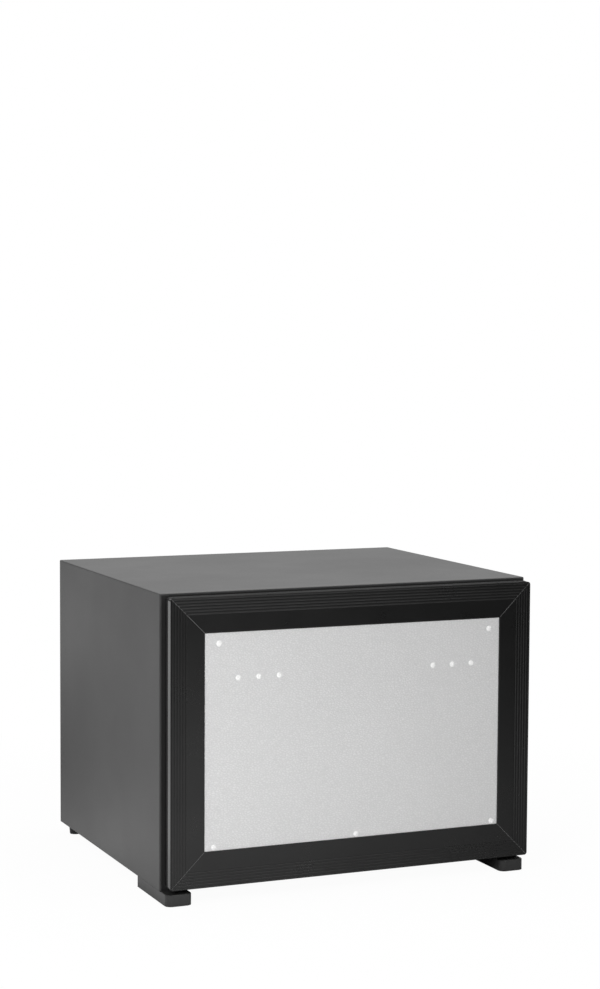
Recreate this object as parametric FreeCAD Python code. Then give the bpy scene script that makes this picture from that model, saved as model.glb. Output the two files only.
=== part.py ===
"""Drawer minibar fridge: a steel cabinet on low feet, with an insulated drawer on ball-bearing rails.

The front faces -Y, +X is to the right seen from the front, and +Z is up. The origin is on the ground
under the middle of the whole object. All lengths are in millimetres.
"""
import FreeCAD, Part
import math
import os

from FreeCAD import Matrix, Placement, Rotation, Vector

# Cabinet shell
cabinet_width = 490.0
cabinet_depth = 396.5
cabinet_height = 356.5
feet_height = 14.0
sheet = 0.8
cabinet_edge_radius = 1.6
front_hem = 2.6
front_hem_radius = 1.4
front_flange = 24.0
rear_recess = 4.0
base_upstand = 16.0
joint_gap = 0.1
overrun = 5.0

# Insulation, liner and front trim of the cabinet
foam_side = 36.2
foam_top = 33.2
foam_bottom = 38.2
foam_back = 28.0
liner_wall = 2.0
liner_corner_radius = 12.0
liner_lip = 9.5
breaker_thickness = 2.4

# Machine recess in the back
well_width = 320.0
well_rise = 48.0
well_drop = 48.5
well_depth = 66.0
well_wall = 1.5

# Drawer front
front_side_reveal = 4.8
front_top_reveal = 3.2
front_thickness = 12.5
front_gap = 12.5
front_rise = 5.0
front_corner_radius = 3.5
frame_band = 43.45
frame_wall = 1.8
rib_count = 6
rib_pitch = 3.6
rib_first = 1.8
rib_width = 1.6
rib_depth = 0.55
frame_chamfer = 0.8
mitre_bevel = 0.35
key_chamber_width = 18.2
liner_seat = 20.0
panel_lip = 1.2
panel_thickness = 0.8
panel_tuck = 5.5
slot_play = 0.05
key_length = 42.0
key_play = 0.3

# Insulated back of the drawer front
front_liner_wall = 1.6
plug_depth = 27.0
plug_margin_z = 6.0
plug_side_gap = 2.7
plug_corner_radius = 14.0

# Fixing points on the front panel, from the panel's edges, all a little to the right
fixings_right = 1.9
plug_spacing = 26.5
plug_row_inset = 40.75
plug_row_drop = 54.9
top_rivet_side = 16.2
top_rivet_drop = 12.8
bottom_rivet_side = 9.8
bottom_rivet_rise = 4.3
rivet_head_radius = 3.4
rivet_head_height = 0.7
rivet_shank_radius = 1.6
rivet_length = 6.0
plug_head_radius = 3.3
plug_head_height = 0.6
plug_body_radius = 2.4
plug_body_length = 6.5
plug_dimple_radius = 1.1

# Magnetic gasket
gasket_inset = 2.2
gasket_width = 17.6
gasket_base = 2.4
gasket_waist = 3.2
gasket_waist_inset = 1.8
gasket_chamfer = 1.4
gasket_skin = 1.4
gasket_clearance = 0.3
magnet_width = 11.0
magnet_thickness = 3.0
dart_from_edge = 9.0
dart_width = 1.6
dart_length = 3.0
dart_play = 0.2

# Ball-bearing rails
rail_back_gap = 10.2
rail_setback = 4.0
rail_height = 42.0
rail_thickness = 12.7
rail_steel = 1.2
rail_flange_end = 11.0
rail_rise = 115.0
middle_web_offset = 3.0
drawer_flange_start = 6.0
ball_radius = 1.6
ball_line = 7.6
race_depth = 0.35
race_clearance = 0.03
ball_count = 6
cage_strip = 1.0
cage_web = 0.6
cage_web_gap = 0.6
cage_edge = 10.0
cage_length = 110.0
cage_start = 80.0
cage_ball_play = 0.05
backing_thickness = 2.0
backing_height = 30.0
rail_screw_radius = 1.6
rail_screw_head = 3.1
rail_screw_length = 8.0

# Arms that carry the front and the bin
arm_plate = 1.5
arm_below = 18.0
arm_above = 22.0
arm_tail = 34.0
arm_flange = 17.0
arm_screw_radius = 1.9
arm_screw_head = 3.4
arm_screw_head_height = 1.5
arm_screw_length = 8.5
arm_screw_spread = 12.0
arm_flange_screw_inset = 5.0
rail_joint_length = 2.4

# Bottle bin and its divider
bin_wall = 2.2
bin_side_gap = 2.4
bin_front_gap = 3.0
bin_back_gap = 4.0
bin_floor_gap = 5.0
bin_corner_radius = 10.0
bin_rim_overhang = 3.6
bin_rib_count = 7
bin_rib_height = 1.0
bin_rib_width = 3.0
divider_thickness = 2.6
divider_play = 0.5
divider_drop = 44.0
divider_hook = 2.0
divider_window_rise = 26.0
divider_window_height = 62.0
divider_window_margin = 30.0
divider_setback = 120.25

# Cold air cover inside the cavity
duct_side_gap = 56.0
duct_rise = 40.0
duct_top_gap = 7.5
duct_depth = 40.0
duct_wall = 2.0
duct_corner_radius = 6.0
slot_width = 3.4
slot_pitch = 7.4
cold_slot_half = 34.0
duct_vent_length = 34.0
duct_vent_columns = 5
duct_vent_drop = 16.0

# Cooling unit, named from the cold side to the warm side
cooler_lift = 23.0
cold_sink_width = 120.0
cold_sink_height = 90.0
cold_sink_base = 4.0
cold_fin_length = 16.0
cold_fin_thickness = 1.2
cold_fin_pitch = 5.0
sink_gap = 0.2
block_side = 50.0
module_side = 40.0
module_thickness = 3.8
collar_side = 84.0
clamp_spacing = 64.0
clamp_radius = 2.0
clamp_head_radius = 3.6
clamp_head_height = 2.6
clamp_pocket_play = 1.4
hot_sink_width = 160.0
hot_sink_height = 130.0
hot_sink_base = 5.0
hot_fin_length = 27.0
hot_fin_thickness = 1.5
hot_fin_pitch = 6.0

# Fans
cold_fan_side = 80.0
cold_fan_depth = 15.0
hot_fan_side = 120.0
hot_fan_depth = 25.0
fan_rim = 3.0
fan_corner_radius = 4.0
fan_hole_radius = 2.1
fan_hole_inset_share = 0.0625
fan_spoke_width = 3.0
fan_plate = 2.0
fan_hub_share = 0.19
fan_post_radius = 2.5
fan_bore_play = 0.05
fan_tip_gap = 1.2
fan_blade_count = 7
fan_blade_thickness = 1.6
fan_blade_angle = 38.0
fan_end_gap = 0.8

# Thermostat on the cold air cover
knob_inset = 45.0
knob_drop = 42.0
knob_radius = 14.0
knob_height = 12.0
knob_gap = 0.6
knob_flute_count = 18
knob_flute_radius = 1.2
knob_mark_width = 2.0
knob_mark_height = 0.6
spindle_radius = 3.0
spindle_play = 0.05
spindle_length = 12.0
pot_side = 26.0
pot_depth = 14.0
sensor_radius = 3.0
sensor_length = 26.0
sensor_inset = 80.0
sensor_rise = 82.0

# Lamp in the cavity's ceiling
lamp_width = 70.0
lamp_depth = 22.0
lamp_height = 7.0
lamp_wall = 1.4
lamp_setback = 34.0
lamp_board_thickness = 1.2

# Condensate tray under the cold sink
tray_width = 130.0
tray_height = 12.0
tray_wall = 1.5
tray_depth = 22.0
spout_radius = 5.0
spout_bore = 3.4
spout_reach = 8.0
spout_clearance = 3.0

# Power parts in the machine recess
supply_width = 58.0
supply_height = 150.0
supply_depth = 44.0
supply_wall = 1.2
supply_inset = 10.0
supply_rise = 26.0
supply_slot_count = 9
supply_slot_pitch = 13.0
board_width = 52.0
board_height = 96.0
board_thickness = 1.6
board_inset = 12.0
board_drop = 46.0
board_standoff = 6.0
board_post_radius = 2.4
board_post_inset = 4.0
relay_share = (0.22, 0.16, 0.34, 0.20)
capacitor_radius = 5.0
capacitor_height = 14.0
chip_share = (0.50, 0.55, 0.36, 0.12)
connector_share = (0.20, 0.82, 0.60, 0.09)
relay_height = 15.0
chip_height = 2.4
connector_height = 9.0

# Rear cover with the mains inlet
cover_margin = 10.0
cover_thickness = 2.0
cover_corner_radius = 6.0
cover_slot_rows = 15
cover_slot_pitch = 8.0
cover_slot_length = 46.0
cover_slot_half = 58.0
inlet_inset = 48.0
inlet_rise = 28.0
inlet_flange_width = 60.0
inlet_flange_height = 28.0
inlet_flange_thickness = 1.5
inlet_body_depth = 22.0
inlet_body_inset = 2.4
inlet_socket_width = 24.0
inlet_socket_height = 16.0
inlet_socket_depth = 17.0
inlet_socket_shift = -13.5
inlet_pin_width = 2.0
inlet_pin_height = 4.0
inlet_pin_length = 10.5
inlet_pin_spacing = 7.0
rocker_shift = 15.5
rocker_radius = 9.0
rocker_width = 12.0
rocker_play = 0.2
rocker_axle = 1.5
rocker_proud_share = 0.12
rocker_tilt = 8.0

# Screws that hold the covers and feet
case_screw_radius = 1.9
case_screw_head = 3.6
case_screw_head_height = 1.6
case_screw_length = 9.0
cover_screw_inset = 5.0

# Feet
foot_width = 33.0
foot_back = 80.0
foot_corner_radius = 8.0
foot_top_radius = 1.0
left_foot_inset = 0.5
right_foot_inset = 8.5
foot_wall = 2.6
foot_web_setback = 34.0
foot_pad_thickness = 2.6
shelf_hole_radius = 2.5
shelf_boss_radius = 6.0
shelf_hole_setback = 12.5
foot_screw_backs = (40.0, 68.0)
rear_foot_radius = 9.0
rear_foot_tip_radius = 7.5
rear_foot_inset_x = 15.5
rear_foot_inset_y = 18.0
rear_foot_recess = 5.0

# Places worked out from the sizes
half_width = cabinet_width / 2
y_back = (cabinet_depth + front_gap + front_thickness) / 2
y_cabinet = y_back - cabinet_depth
y_front_back = y_cabinet - front_gap
y_face = y_front_back - front_thickness
z_bottom = feet_height
z_top = feet_height + cabinet_height
cavity_half = half_width - sheet - foam_side - liner_wall
z_floor = z_bottom + sheet + foam_bottom + liner_wall
z_ceiling = z_top - sheet - foam_top - liner_wall
y_pan = y_back - rear_recess
y_well_mouth = y_pan - sheet
y_well_floor = y_well_mouth - well_depth
y_liner_back = y_well_floor - well_wall - foam_back - liner_wall
z_well = z_bottom + well_rise
well_height = cabinet_height - well_rise - well_drop
y_breaker_back = y_cabinet + breaker_thickness

front_width = cabinet_width - 2 * front_side_reveal
front_height = cabinet_height - front_rise - front_top_reveal
front_half = front_width / 2
z_front = z_bottom + front_rise
z_front_top = z_front + front_height
panel_half = front_half - frame_band
z_panel = z_front + frame_band
z_panel_top = z_front_top - frame_band
y_panel = y_face + panel_lip + slot_play
y_panel_back = y_panel + panel_thickness
y_plug = y_front_back + plug_depth

z_rail = z_floor + rail_rise
y_rail = y_cabinet + rail_setback
rail_length = y_liner_back - rail_back_gap - y_rail
race_gap = 2 * (ball_radius + race_clearance - race_depth)
middle_half = rail_height / 2 - rail_steel - race_gap
drawer_rail_half = middle_half - rail_steel - race_gap
outer_row = middle_half + race_gap / 2
inner_row = drawer_rail_half + race_gap / 2
arm_face = rail_thickness + joint_gap
arm_inner = arm_face + arm_plate
z_arm_top = z_rail + arm_above
plug_half = cavity_half - arm_inner - plug_side_gap

bin_half = cavity_half - arm_inner - bin_side_gap
y_bin = y_plug + bin_front_gap
y_duct = y_liner_back - duct_depth
duct_half = cavity_half - duct_side_gap
z_duct = z_floor + duct_rise
z_duct_top = z_ceiling - duct_top_gap
y_divider = y_bin + divider_setback
y_bin_back = y_duct - bin_back_gap
z_bin = z_floor + bin_floor_gap
z_bin_top = z_arm_top + bin_wall

z_cooler = z_well + well_height / 2 + cooler_lift
y_cold_base = y_liner_back - sink_gap
y_cold_face = y_cold_base - cold_sink_base
y_cold_tips = y_cold_face - cold_fin_length
y_hot_base = y_well_floor + joint_gap
y_hot_face = y_hot_base + hot_sink_base
y_hot_tips = y_hot_face + hot_fin_length
y_cover = y_pan + cover_thickness
x_knob = duct_half - knob_inset
z_knob = z_duct_top - knob_drop
x_sensor = sensor_inset - duct_half
x_supply = supply_inset - well_width / 2
x_board = well_width / 2 - board_inset - board_width
z_board = z_well + well_height - board_drop - board_height
x_inlet = well_width / 2 - inlet_inset


# Basic shapes

def box(x0, x1, y0, y1, z0, z1):
    return Part.makeBox(x1 - x0, y1 - y0, z1 - z0, Vector(x0, y0, z0))


def rod(x, y, z, radius, length, axis):
    return Part.makeCylinder(radius, length, Vector(x, y, z), Vector(*axis))


def rounded_wire(x0, x1, z0, z1, radius):
    """Rounded rectangle in the XZ plane, as a wire at y = 0."""
    def point(x, z):
        return Vector(x, 0, z)

    bend = radius * (1 - math.sqrt(0.5))
    edges = [
        Part.LineSegment(point(x0 + radius, z0), point(x1 - radius, z0)).toShape(),
        Part.Arc(point(x1 - radius, z0), point(x1 - bend, z0 + bend), point(x1, z0 + radius)).toShape(),
        Part.LineSegment(point(x1, z0 + radius), point(x1, z1 - radius)).toShape(),
        Part.Arc(point(x1, z1 - radius), point(x1 - bend, z1 - bend), point(x1 - radius, z1)).toShape(),
        Part.LineSegment(point(x1 - radius, z1), point(x0 + radius, z1)).toShape(),
        Part.Arc(point(x0 + radius, z1), point(x0 + bend, z1 - bend), point(x0, z1 - radius)).toShape(),
        Part.LineSegment(point(x0, z1 - radius), point(x0, z0 + radius)).toShape(),
        Part.Arc(point(x0, z0 + radius), point(x0 + bend, z0 + bend), point(x0 + radius, z0)).toShape(),
    ]
    return Part.Wire(edges)


def rounded_block(x0, x1, y0, y1, z0, z1, radius):
    """Block whose four edges along Y are rounded."""
    face = Part.Face(rounded_wire(x0, x1, z0, z1, radius))
    block = face.extrude(Vector(0, y1 - y0, 0))
    block.translate(Vector(0, y0, 0))
    return block


def rounded_column(x0, x1, y0, y1, z0, z1, radius):
    """Block whose four upright edges are rounded."""
    block = rounded_block(x0, x1, 0, z1 - z0, -y1, -y0, radius)
    block.rotate(Vector(0, 0, 0), Vector(1, 0, 0), 90)
    block.translate(Vector(0, 0, z0))
    return block


def fuse(shapes):
    whole = shapes[0].multiFuse(list(shapes[1:])) if len(shapes) > 1 else shapes[0]
    return whole.removeSplitter()


def cut(shape, tools):
    return shape.cut(list(tools)) if tools else shape


def mirrored(shape):
    """The same piece on the other side of the cabinet."""
    return shape.mirror(Vector(0, 0, 0), Vector(1, 0, 0))


def group(shapes):
    return Part.makeCompound([solid for shape in shapes for solid in shape.Solids])


def screw(x, y, z, axis, radius, length, head_radius, head_height):
    """Pan-head screw: the head's underside is at the point, and the shank runs along the axis."""
    shank = rod(x, y, z, radius, length, axis)
    back = [-head_height * a for a in axis]
    head = rod(x + back[0], y + back[1], z + back[2], head_radius, head_height, axis)
    return fuse([shank, head])


def screw_hole(x, y, z, axis, radius, length):
    """Clearance for a screw's shank, a little longer than the screw."""
    return rod(x, y, z, radius + joint_gap, length + joint_gap, axis)


# Cabinet shell

def cabinet_wrap():
    """Folded steel sheet: both sides and the top, with a hem and a return flange round the front."""
    outer = rounded_block(-half_width, half_width, y_cabinet, y_back, z_bottom - overrun, z_top,
                          cabinet_edge_radius)
    front_edges = [edge for edge in outer.Edges if edge.BoundBox.YMax < y_cabinet + cabinet_edge_radius]
    outer = outer.makeFillet(front_hem_radius, front_edges)
    inner_half = half_width - sheet
    inner = box(-inner_half, inner_half, y_breaker_back + sheet, y_back + overrun, z_bottom - 2 * overrun,
                z_top - sheet)
    mouth_half = half_width - front_hem
    mouth = box(-mouth_half, mouth_half, y_cabinet - overrun, y_breaker_back, z_bottom - 2 * overrun,
                z_top - front_hem)
    window_half = half_width - front_flange
    window = box(-window_half, window_half, y_cabinet - overrun, y_back, z_bottom - 2 * overrun,
                 z_top - front_flange)
    below = box(-half_width - overrun, half_width + overrun, y_cabinet - overrun, y_back + overrun,
                z_bottom - 2 * overrun, z_bottom)
    return cut(outer, [inner, mouth, window, below])


def base_half():
    return half_width - sheet - joint_gap


def base_plate():
    """Bottom sheet with upstands at the sides and a front flange that closes the wrap's frame."""
    half = base_half()
    window_half = half_width - front_flange - joint_gap
    plate = box(-half, half, y_breaker_back + sheet + joint_gap, y_back, z_bottom, z_bottom + sheet)
    sides = [box(sign * half - (sheet if sign > 0 else 0), sign * half + (0 if sign > 0 else sheet),
                 y_breaker_back + sheet + joint_gap, y_back, z_bottom, z_bottom + base_upstand)
             for sign in (-1, 1)]
    front = box(-window_half, window_half, y_breaker_back, y_breaker_back + sheet, z_bottom,
                z_bottom + front_flange)
    link = box(-window_half, window_half, y_breaker_back, y_breaker_back + sheet + joint_gap + sheet,
               z_bottom, z_bottom + sheet)
    plate = fuse([plate, front, link] + sides)
    return cut(plate, foot_screw_holes())


def rear_panel():
    """Shallow pan that closes the back, with a rim turned outwards and a window for the machine recess."""
    half = half_width - 2 * sheet - 2 * joint_gap
    bottom = z_bottom + sheet + joint_gap
    top = z_top - sheet - joint_gap
    plate = box(-half, half, y_well_mouth, y_pan, bottom, top)
    block = box(-half, half, y_well_mouth, y_back, bottom, top)
    hollow = box(-half + sheet, half - sheet, y_pan, y_back + overrun, bottom + sheet, top - sheet)
    window = box(-well_width / 2, well_width / 2, y_well_mouth - overrun, y_back + overrun, z_well,
                 z_well + well_height)
    return cut(fuse([plate, cut(block, [hollow])]), [window] + cover_screw_holes())


def rear_well():
    """Moulded tray behind the cavity that holds the warm side of the cooling unit."""
    half = well_width / 2
    outer = box(-half - well_wall, half + well_wall, y_well_floor - well_wall, y_well_mouth - joint_gap,
                z_well - well_wall, z_well + well_height + well_wall)
    inner = box(-half, half, y_well_floor, y_well_mouth + overrun, z_well, z_well + well_height)
    return cut(outer, [inner, passage(collar_side / 2 + joint_gap), spout_hole()])


def passage(half):
    """Square way through the back wall for the cold block and its collar."""
    return box(-half, half, y_liner_back - overrun, y_well_floor + overrun, z_cooler - half, z_cooler + half)


def liner_block(grow, y0, y1):
    half = cavity_half + grow
    return rounded_block(-half, half, y0, y1, z_floor - grow, z_ceiling + grow, liner_corner_radius + grow)


def inner_liner():
    """Moulded tub that lines the cold space, with a lip behind the front trim."""
    tub = liner_block(liner_wall, y_breaker_back, y_liner_back + liner_wall)
    lip = liner_block(liner_wall + liner_lip, y_breaker_back, y_breaker_back + sheet)
    hollow = liner_block(0, y_cabinet - overrun, y_liner_back)
    way = passage(collar_side / 2 + joint_gap)
    return cut(fuse([tub, lip]), [hollow, way, spout_hole()] + rail_screw_holes())


def breaker_frame():
    """Black trim ring over the front flange, between the steel wrap and the liner."""
    half = half_width - front_hem - joint_gap
    plate = box(-half, half, y_cabinet, y_breaker_back - joint_gap, z_bottom, z_top - front_hem - joint_gap)
    return cut(plate, [liner_block(0, y_cabinet - overrun, y_back)])


def foam_body():
    """Insulation that fills the space between the steel shell, the liner and the machine recess."""
    half = half_width - sheet - joint_gap
    block = box(-half, half, y_breaker_back + sheet + joint_gap, y_well_mouth - joint_gap,
                z_bottom + sheet + joint_gap, z_top - sheet - joint_gap)
    tub = liner_block(liner_wall, y_cabinet - overrun, y_liner_back + liner_wall)
    recess_half = well_width / 2 + well_wall
    recess = box(-recess_half, recess_half, y_well_floor - well_wall, y_back, z_well - well_wall,
                 z_well + well_height + well_wall)
    sides = [box(min(sign * half, sign * (half - sheet)), max(sign * half, sign * (half - sheet)),
                 y_cabinet, y_back, z_bottom, z_bottom + base_upstand) for sign in (-1, 1)]
    front = box(-half, half, y_cabinet, y_breaker_back + 2 * sheet + joint_gap, z_bottom,
                z_bottom + front_flange)
    tools = [tub, recess, passage(collar_side / 2 + joint_gap), front, spout_hole()] + sides
    return cut(block, tools + rail_backings().Solids + rail_screw_holes() + foot_screw_holes()
               + cover_screw_holes())


# Feet

def foot_places():
    """Left edge of each front foot."""
    return (-half_width + left_foot_inset, half_width - right_foot_inset - foot_width)


def front_foot(x0):
    """Hollow moulded block under the cabinet's front that reaches forward under the drawer front."""
    x1 = x0 + foot_width
    y1 = y_cabinet + foot_back
    outer = rounded_column(x0, x1, y_face, y1 + foot_corner_radius, 0, feet_height, foot_corner_radius)
    outer = outer.common(box(x0 - overrun, x1 + overrun, y_face - overrun, y1, 0, feet_height))
    rims = [edge for edge in outer.Edges
            if edge.BoundBox.ZMin > feet_height - foot_top_radius and edge.BoundBox.YMax < y1]
    outer = outer.makeFillet(foot_top_radius, rims)
    hollow = rounded_column(x0 + foot_wall, x1 - foot_wall, y_face + foot_wall, y1 - foot_wall,
                            foot_pad_thickness, feet_height - foot_wall, foot_corner_radius - foot_wall)
    below = rounded_column(x0 + 2 * foot_wall, x1 - 2 * foot_wall, y_face + 2 * foot_wall,
                           y1 - 2 * foot_wall, -overrun, foot_pad_thickness + joint_gap,
                           foot_corner_radius - 2 * foot_wall)
    middle = x0 + foot_width / 2
    bosses = [rod(middle, y_face + shelf_hole_setback, 0, shelf_boss_radius, feet_height, (0, 0, 1))]
    bosses += [rod(middle, y_cabinet + back, 0, shelf_boss_radius, feet_height, (0, 0, 1))
               for back in foot_screw_backs]
    web_y = y_face + foot_web_setback
    bosses.append(box(x0 + foot_wall, x1 - foot_wall, web_y, web_y + foot_wall, 0, feet_height))
    inside = box(x0, x1, y_face, y1, 0, feet_height - foot_wall / 2)
    bosses = [boss.common(inside) for boss in bosses]
    foot = fuse([cut(outer, [hollow, below])] + bosses)
    holes = [rod(middle, y_face + shelf_hole_setback, -overrun, shelf_hole_radius,
                 feet_height + 2 * overrun, (0, 0, 1))]
    for back in foot_screw_backs:
        y = y_cabinet + back
        holes.append(rod(middle, y, -overrun, case_screw_head + joint_gap,
                         overrun + feet_height - foot_seat(), (0, 0, 1)))
        holes.append(screw_hole(middle, y, 0, (0, 0, 1), case_screw_radius, feet_height + overrun))
    return cut(foot, holes)


def foot_seat():
    """Thickness left above a foot screw's head."""
    return feet_height / 2


def foot_screw_spots():
    spots = []
    for x0 in foot_places():
        for back in foot_screw_backs:
            spots.append((x0 + foot_width / 2, y_cabinet + back, feet_height - foot_seat()))
    for sign in (-1, 1):
        spots.append((sign * (half_width - rear_foot_inset_x), y_back - rear_foot_inset_y,
                      rear_foot_recess))
    return spots


def foot_screw_holes():
    return [screw_hole(x, y, z, (0, 0, 1), case_screw_radius, case_screw_length + feet_height)
            for x, y, z in foot_screw_spots()]


def rear_feet():
    """Two tapered rubber feet under the back corners."""
    feet = []
    for x, y, z in foot_screw_spots()[-2:]:
        cone = Part.makeCone(rear_foot_tip_radius, rear_foot_radius, feet_height, Vector(x, y, 0))
        recess = rod(x, y, -overrun, case_screw_head + joint_gap, overrun + rear_foot_recess, (0, 0, 1))
        hole = screw_hole(x, y, 0, (0, 0, 1), case_screw_radius, feet_height + overrun)
        feet.append(cut(cone, [recess, hole]))
    return group(feet)


# Rails, drawn on the right and mirrored for the left

def rail_box(depth0, depth1, y0, y1, z0, z1):
    """Block at a depth measured from the liner's right wall, and at a height from the rail's middle."""
    return box(cavity_half - depth1, cavity_half - depth0, y0, y1, z_rail + z0, z_rail + z1)


def race(row, y0, y1):
    """Round groove along a row of balls."""
    return rod(cavity_half - ball_line, y0 - overrun, z_rail + row, ball_radius + race_clearance,
               y1 - y0 + 2 * overrun, (0, 1, 0))


def channel(depth0, depth1, half, web_depth):
    """Rail section: a web at one side and two flanges."""
    y1 = y_rail + rail_length
    web = rail_box(web_depth, web_depth + rail_steel, y_rail, y1, -half, half)
    flanges = [rail_box(depth0, depth1, y_rail, y1, half - rail_steel, half),
               rail_box(depth0, depth1, y_rail, y1, -half, rail_steel - half)]
    return fuse([web] + flanges)


def rail_screw_spots():
    share = (0.08, 0.5, 0.92)
    return [y_rail + s * rail_length for s in share]


def rail_screw_holes():
    """Holes for the rail screws through the liner, the backing plate and the insulation on both sides."""
    holes = []
    for y in rail_screw_spots():
        hole = screw_hole(cavity_half - rail_steel, y, z_rail, (1, 0, 0), rail_screw_radius,
                          rail_screw_length)
        holes += [hole, mirrored(hole)]
    return holes


def rail_screws():
    """Countersunk screws that hold the cabinet rails."""
    screws = []
    for y in rail_screw_spots():
        shank = rod(cavity_half - rail_steel, y, z_rail, rail_screw_radius, rail_screw_length, (1, 0, 0))
        head = Part.makeCone(rail_screw_head, rail_screw_radius, rail_steel,
                             Vector(cavity_half - rail_steel, y, z_rail), Vector(1, 0, 0))
        screws.append(fuse([shank, head]))
    return group(screws + [mirrored(s) for s in screws])


def countersinks():
    return [Part.makeCone(rail_screw_head + joint_gap, rail_screw_radius + joint_gap, rail_steel,
                          Vector(cavity_half - rail_steel, y, z_rail), Vector(1, 0, 0))
            for y in rail_screw_spots()]


def cabinet_rail():
    """Outer rail, screwed to the liner's wall."""
    rail = channel(0, rail_flange_end, rail_height / 2, 0)
    tools = [race(outer_row, y_rail, y_rail + rail_length), race(-outer_row, y_rail, y_rail + rail_length)]
    return cut(rail, tools + countersinks() + rail_screw_holes())


def middle_rail():
    """Intermediate rail between the two rows of balls."""
    rail = channel(middle_web_offset, rail_flange_end, middle_half, middle_web_offset)
    rows = (outer_row, -outer_row, inner_row, -inner_row)
    return cut(rail, [race(row, y_rail, y_rail + rail_length) for row in rows])


def drawer_rail():
    """Inner rail, fixed to the drawer's arm."""
    rail = channel(drawer_flange_start, rail_thickness, drawer_rail_half, rail_thickness - rail_steel)
    tools = [race(inner_row, y_rail, y_rail + rail_length), race(-inner_row, y_rail, y_rail + rail_length)]
    return cut(rail, tools + arm_rivet_holes())


def ball_cage(row, web_depth):
    """Strip cage with its balls, above and below the rail's middle."""
    y0 = y_rail + cage_start
    y1 = y0 + cage_length
    low = row - cage_strip / 2
    high = row + cage_strip / 2
    cage = fuse([rail_box(web_depth, web_depth + cage_web, y0, y1, -high, high),
                 rail_box(web_depth, cage_edge, y0, y1, low, high),
                 rail_box(web_depth, cage_edge, y0, y1, -high, -low)])
    pitch = cage_length / ball_count
    spots = [(y0 + (i + 0.5) * pitch, sign * row) for i in range(ball_count) for sign in (-1, 1)]
    holes = [rod(cavity_half - ball_line, y, z_rail + z - cage_strip, ball_radius + cage_ball_play,
                 2 * cage_strip, (0, 0, 1)) for y, z in spots]
    balls = [Part.makeSphere(ball_radius, Vector(cavity_half - ball_line, y, z_rail + z)) for y, z in spots]
    return group([cut(cage, holes)] + balls)


def ball_cages(row, web_depth):
    cage = ball_cage(row, web_depth)
    return group([cage, mirrored(cage)])


def rail_backings():
    """Steel strips behind the liner that the rail screws bite into."""
    half = backing_height / 2
    strip = box(cavity_half + liner_wall, cavity_half + liner_wall + backing_thickness, y_rail,
                y_rail + rail_length, z_rail - half, z_rail + half)
    strip = cut(strip, rail_screw_holes())
    return group([strip, mirrored(strip)])


# Arms of the drawer

def arm_rivet_spots():
    share = (0.14, 0.52, 0.84)
    return [(y_rail + s * rail_length, z_rail) for s in share]


def arm_rivet_holes():
    """Holes for the rivets that join a drawer rail to its arm."""
    return [rod(cavity_half - arm_inner - overrun, y, z, arm_screw_radius + joint_gap,
                overrun + arm_inner, (1, 0, 0)) for y, z in arm_rivet_spots()]


def flange_screw_spots():
    x = cavity_half - arm_flange_screw_inset
    y = y_front_back + joint_gap + arm_plate
    return [(x, y, z_rail + step) for step in (-arm_screw_spread, arm_screw_spread)]


def flange_screw_holes():
    """Holes for the screws that join the arms to the drawer front."""
    holes = [screw_hole(x, y, z, (0, -1, 0), arm_screw_radius, arm_screw_length)
             for x, y, z in flange_screw_spots()]
    return holes + [mirrored(hole) for hole in holes]


def arm():
    """Bent steel arm: a plate along the rail and a flange against the drawer front."""
    y0 = y_front_back + joint_gap
    z0 = z_rail - arm_below
    plate = box(cavity_half - arm_inner, cavity_half - arm_face, y0, y_rail + rail_length - arm_tail,
                z0, z_arm_top)
    flange = box(cavity_half - arm_inner, cavity_half - arm_inner + arm_flange, y0, y0 + arm_plate, z0,
                 z_arm_top)
    return cut(fuse([plate, flange]), arm_rivet_holes() + flange_screw_holes())


def arm_rivets():
    """Flat-head rivets through the arms and the drawer rails."""
    rivets = [screw(cavity_half - arm_inner, y, z, (1, 0, 0), arm_screw_radius,
                    arm_inner - rail_thickness + rail_joint_length, arm_screw_head,
                    arm_screw_head_height) for y, z in arm_rivet_spots()]
    screws = [screw(x, y, z, (0, -1, 0), arm_screw_radius, arm_screw_length, arm_screw_head,
                    arm_screw_head_height) for x, y, z in flange_screw_spots()]
    right = rivets + screws
    return group(right + [mirrored(s) for s in right])


# Drawer front

def front_outline(y0, y1):
    return rounded_block(-front_half, front_half, y0, y1, z_front, z_front_top, front_corner_radius)


def frame_profile():
    """Section of a frame side: distance in from the outer edge, and depth back from the face."""
    points = [(0, 0)]
    for i in range(rib_count):
        middle = rib_first + i * rib_pitch
        points += [(middle - rib_width / 2, 0), (middle, rib_depth), (middle + rib_width / 2, 0)]
    slot_front = panel_lip
    slot_back = panel_lip + panel_thickness + 2 * slot_play
    slot_floor = frame_band - panel_tuck - slot_play
    seat = front_thickness - front_liner_wall
    points += [(frame_band - frame_chamfer, 0), (frame_band, frame_chamfer), (frame_band, slot_front),
               (slot_floor, slot_front), (slot_floor, slot_back), (frame_band, slot_back),
               (frame_band, seat), (liner_seat + frame_wall, seat),
               (liner_seat + frame_wall, front_thickness)]
    dart0 = dart_from_edge - dart_play
    dart1 = dart_from_edge + dart_width + dart_play
    points += [(dart1, front_thickness), (dart1, front_thickness - frame_wall),
               (frame_wall + key_chamber_width, front_thickness - frame_wall),
               (frame_wall + key_chamber_width, rib_depth + frame_wall),
               (frame_wall, rib_depth + frame_wall), (frame_wall, front_thickness - frame_wall),
               (dart0, front_thickness - frame_wall), (dart0, front_thickness), (0, front_thickness)]
    return points


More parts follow.
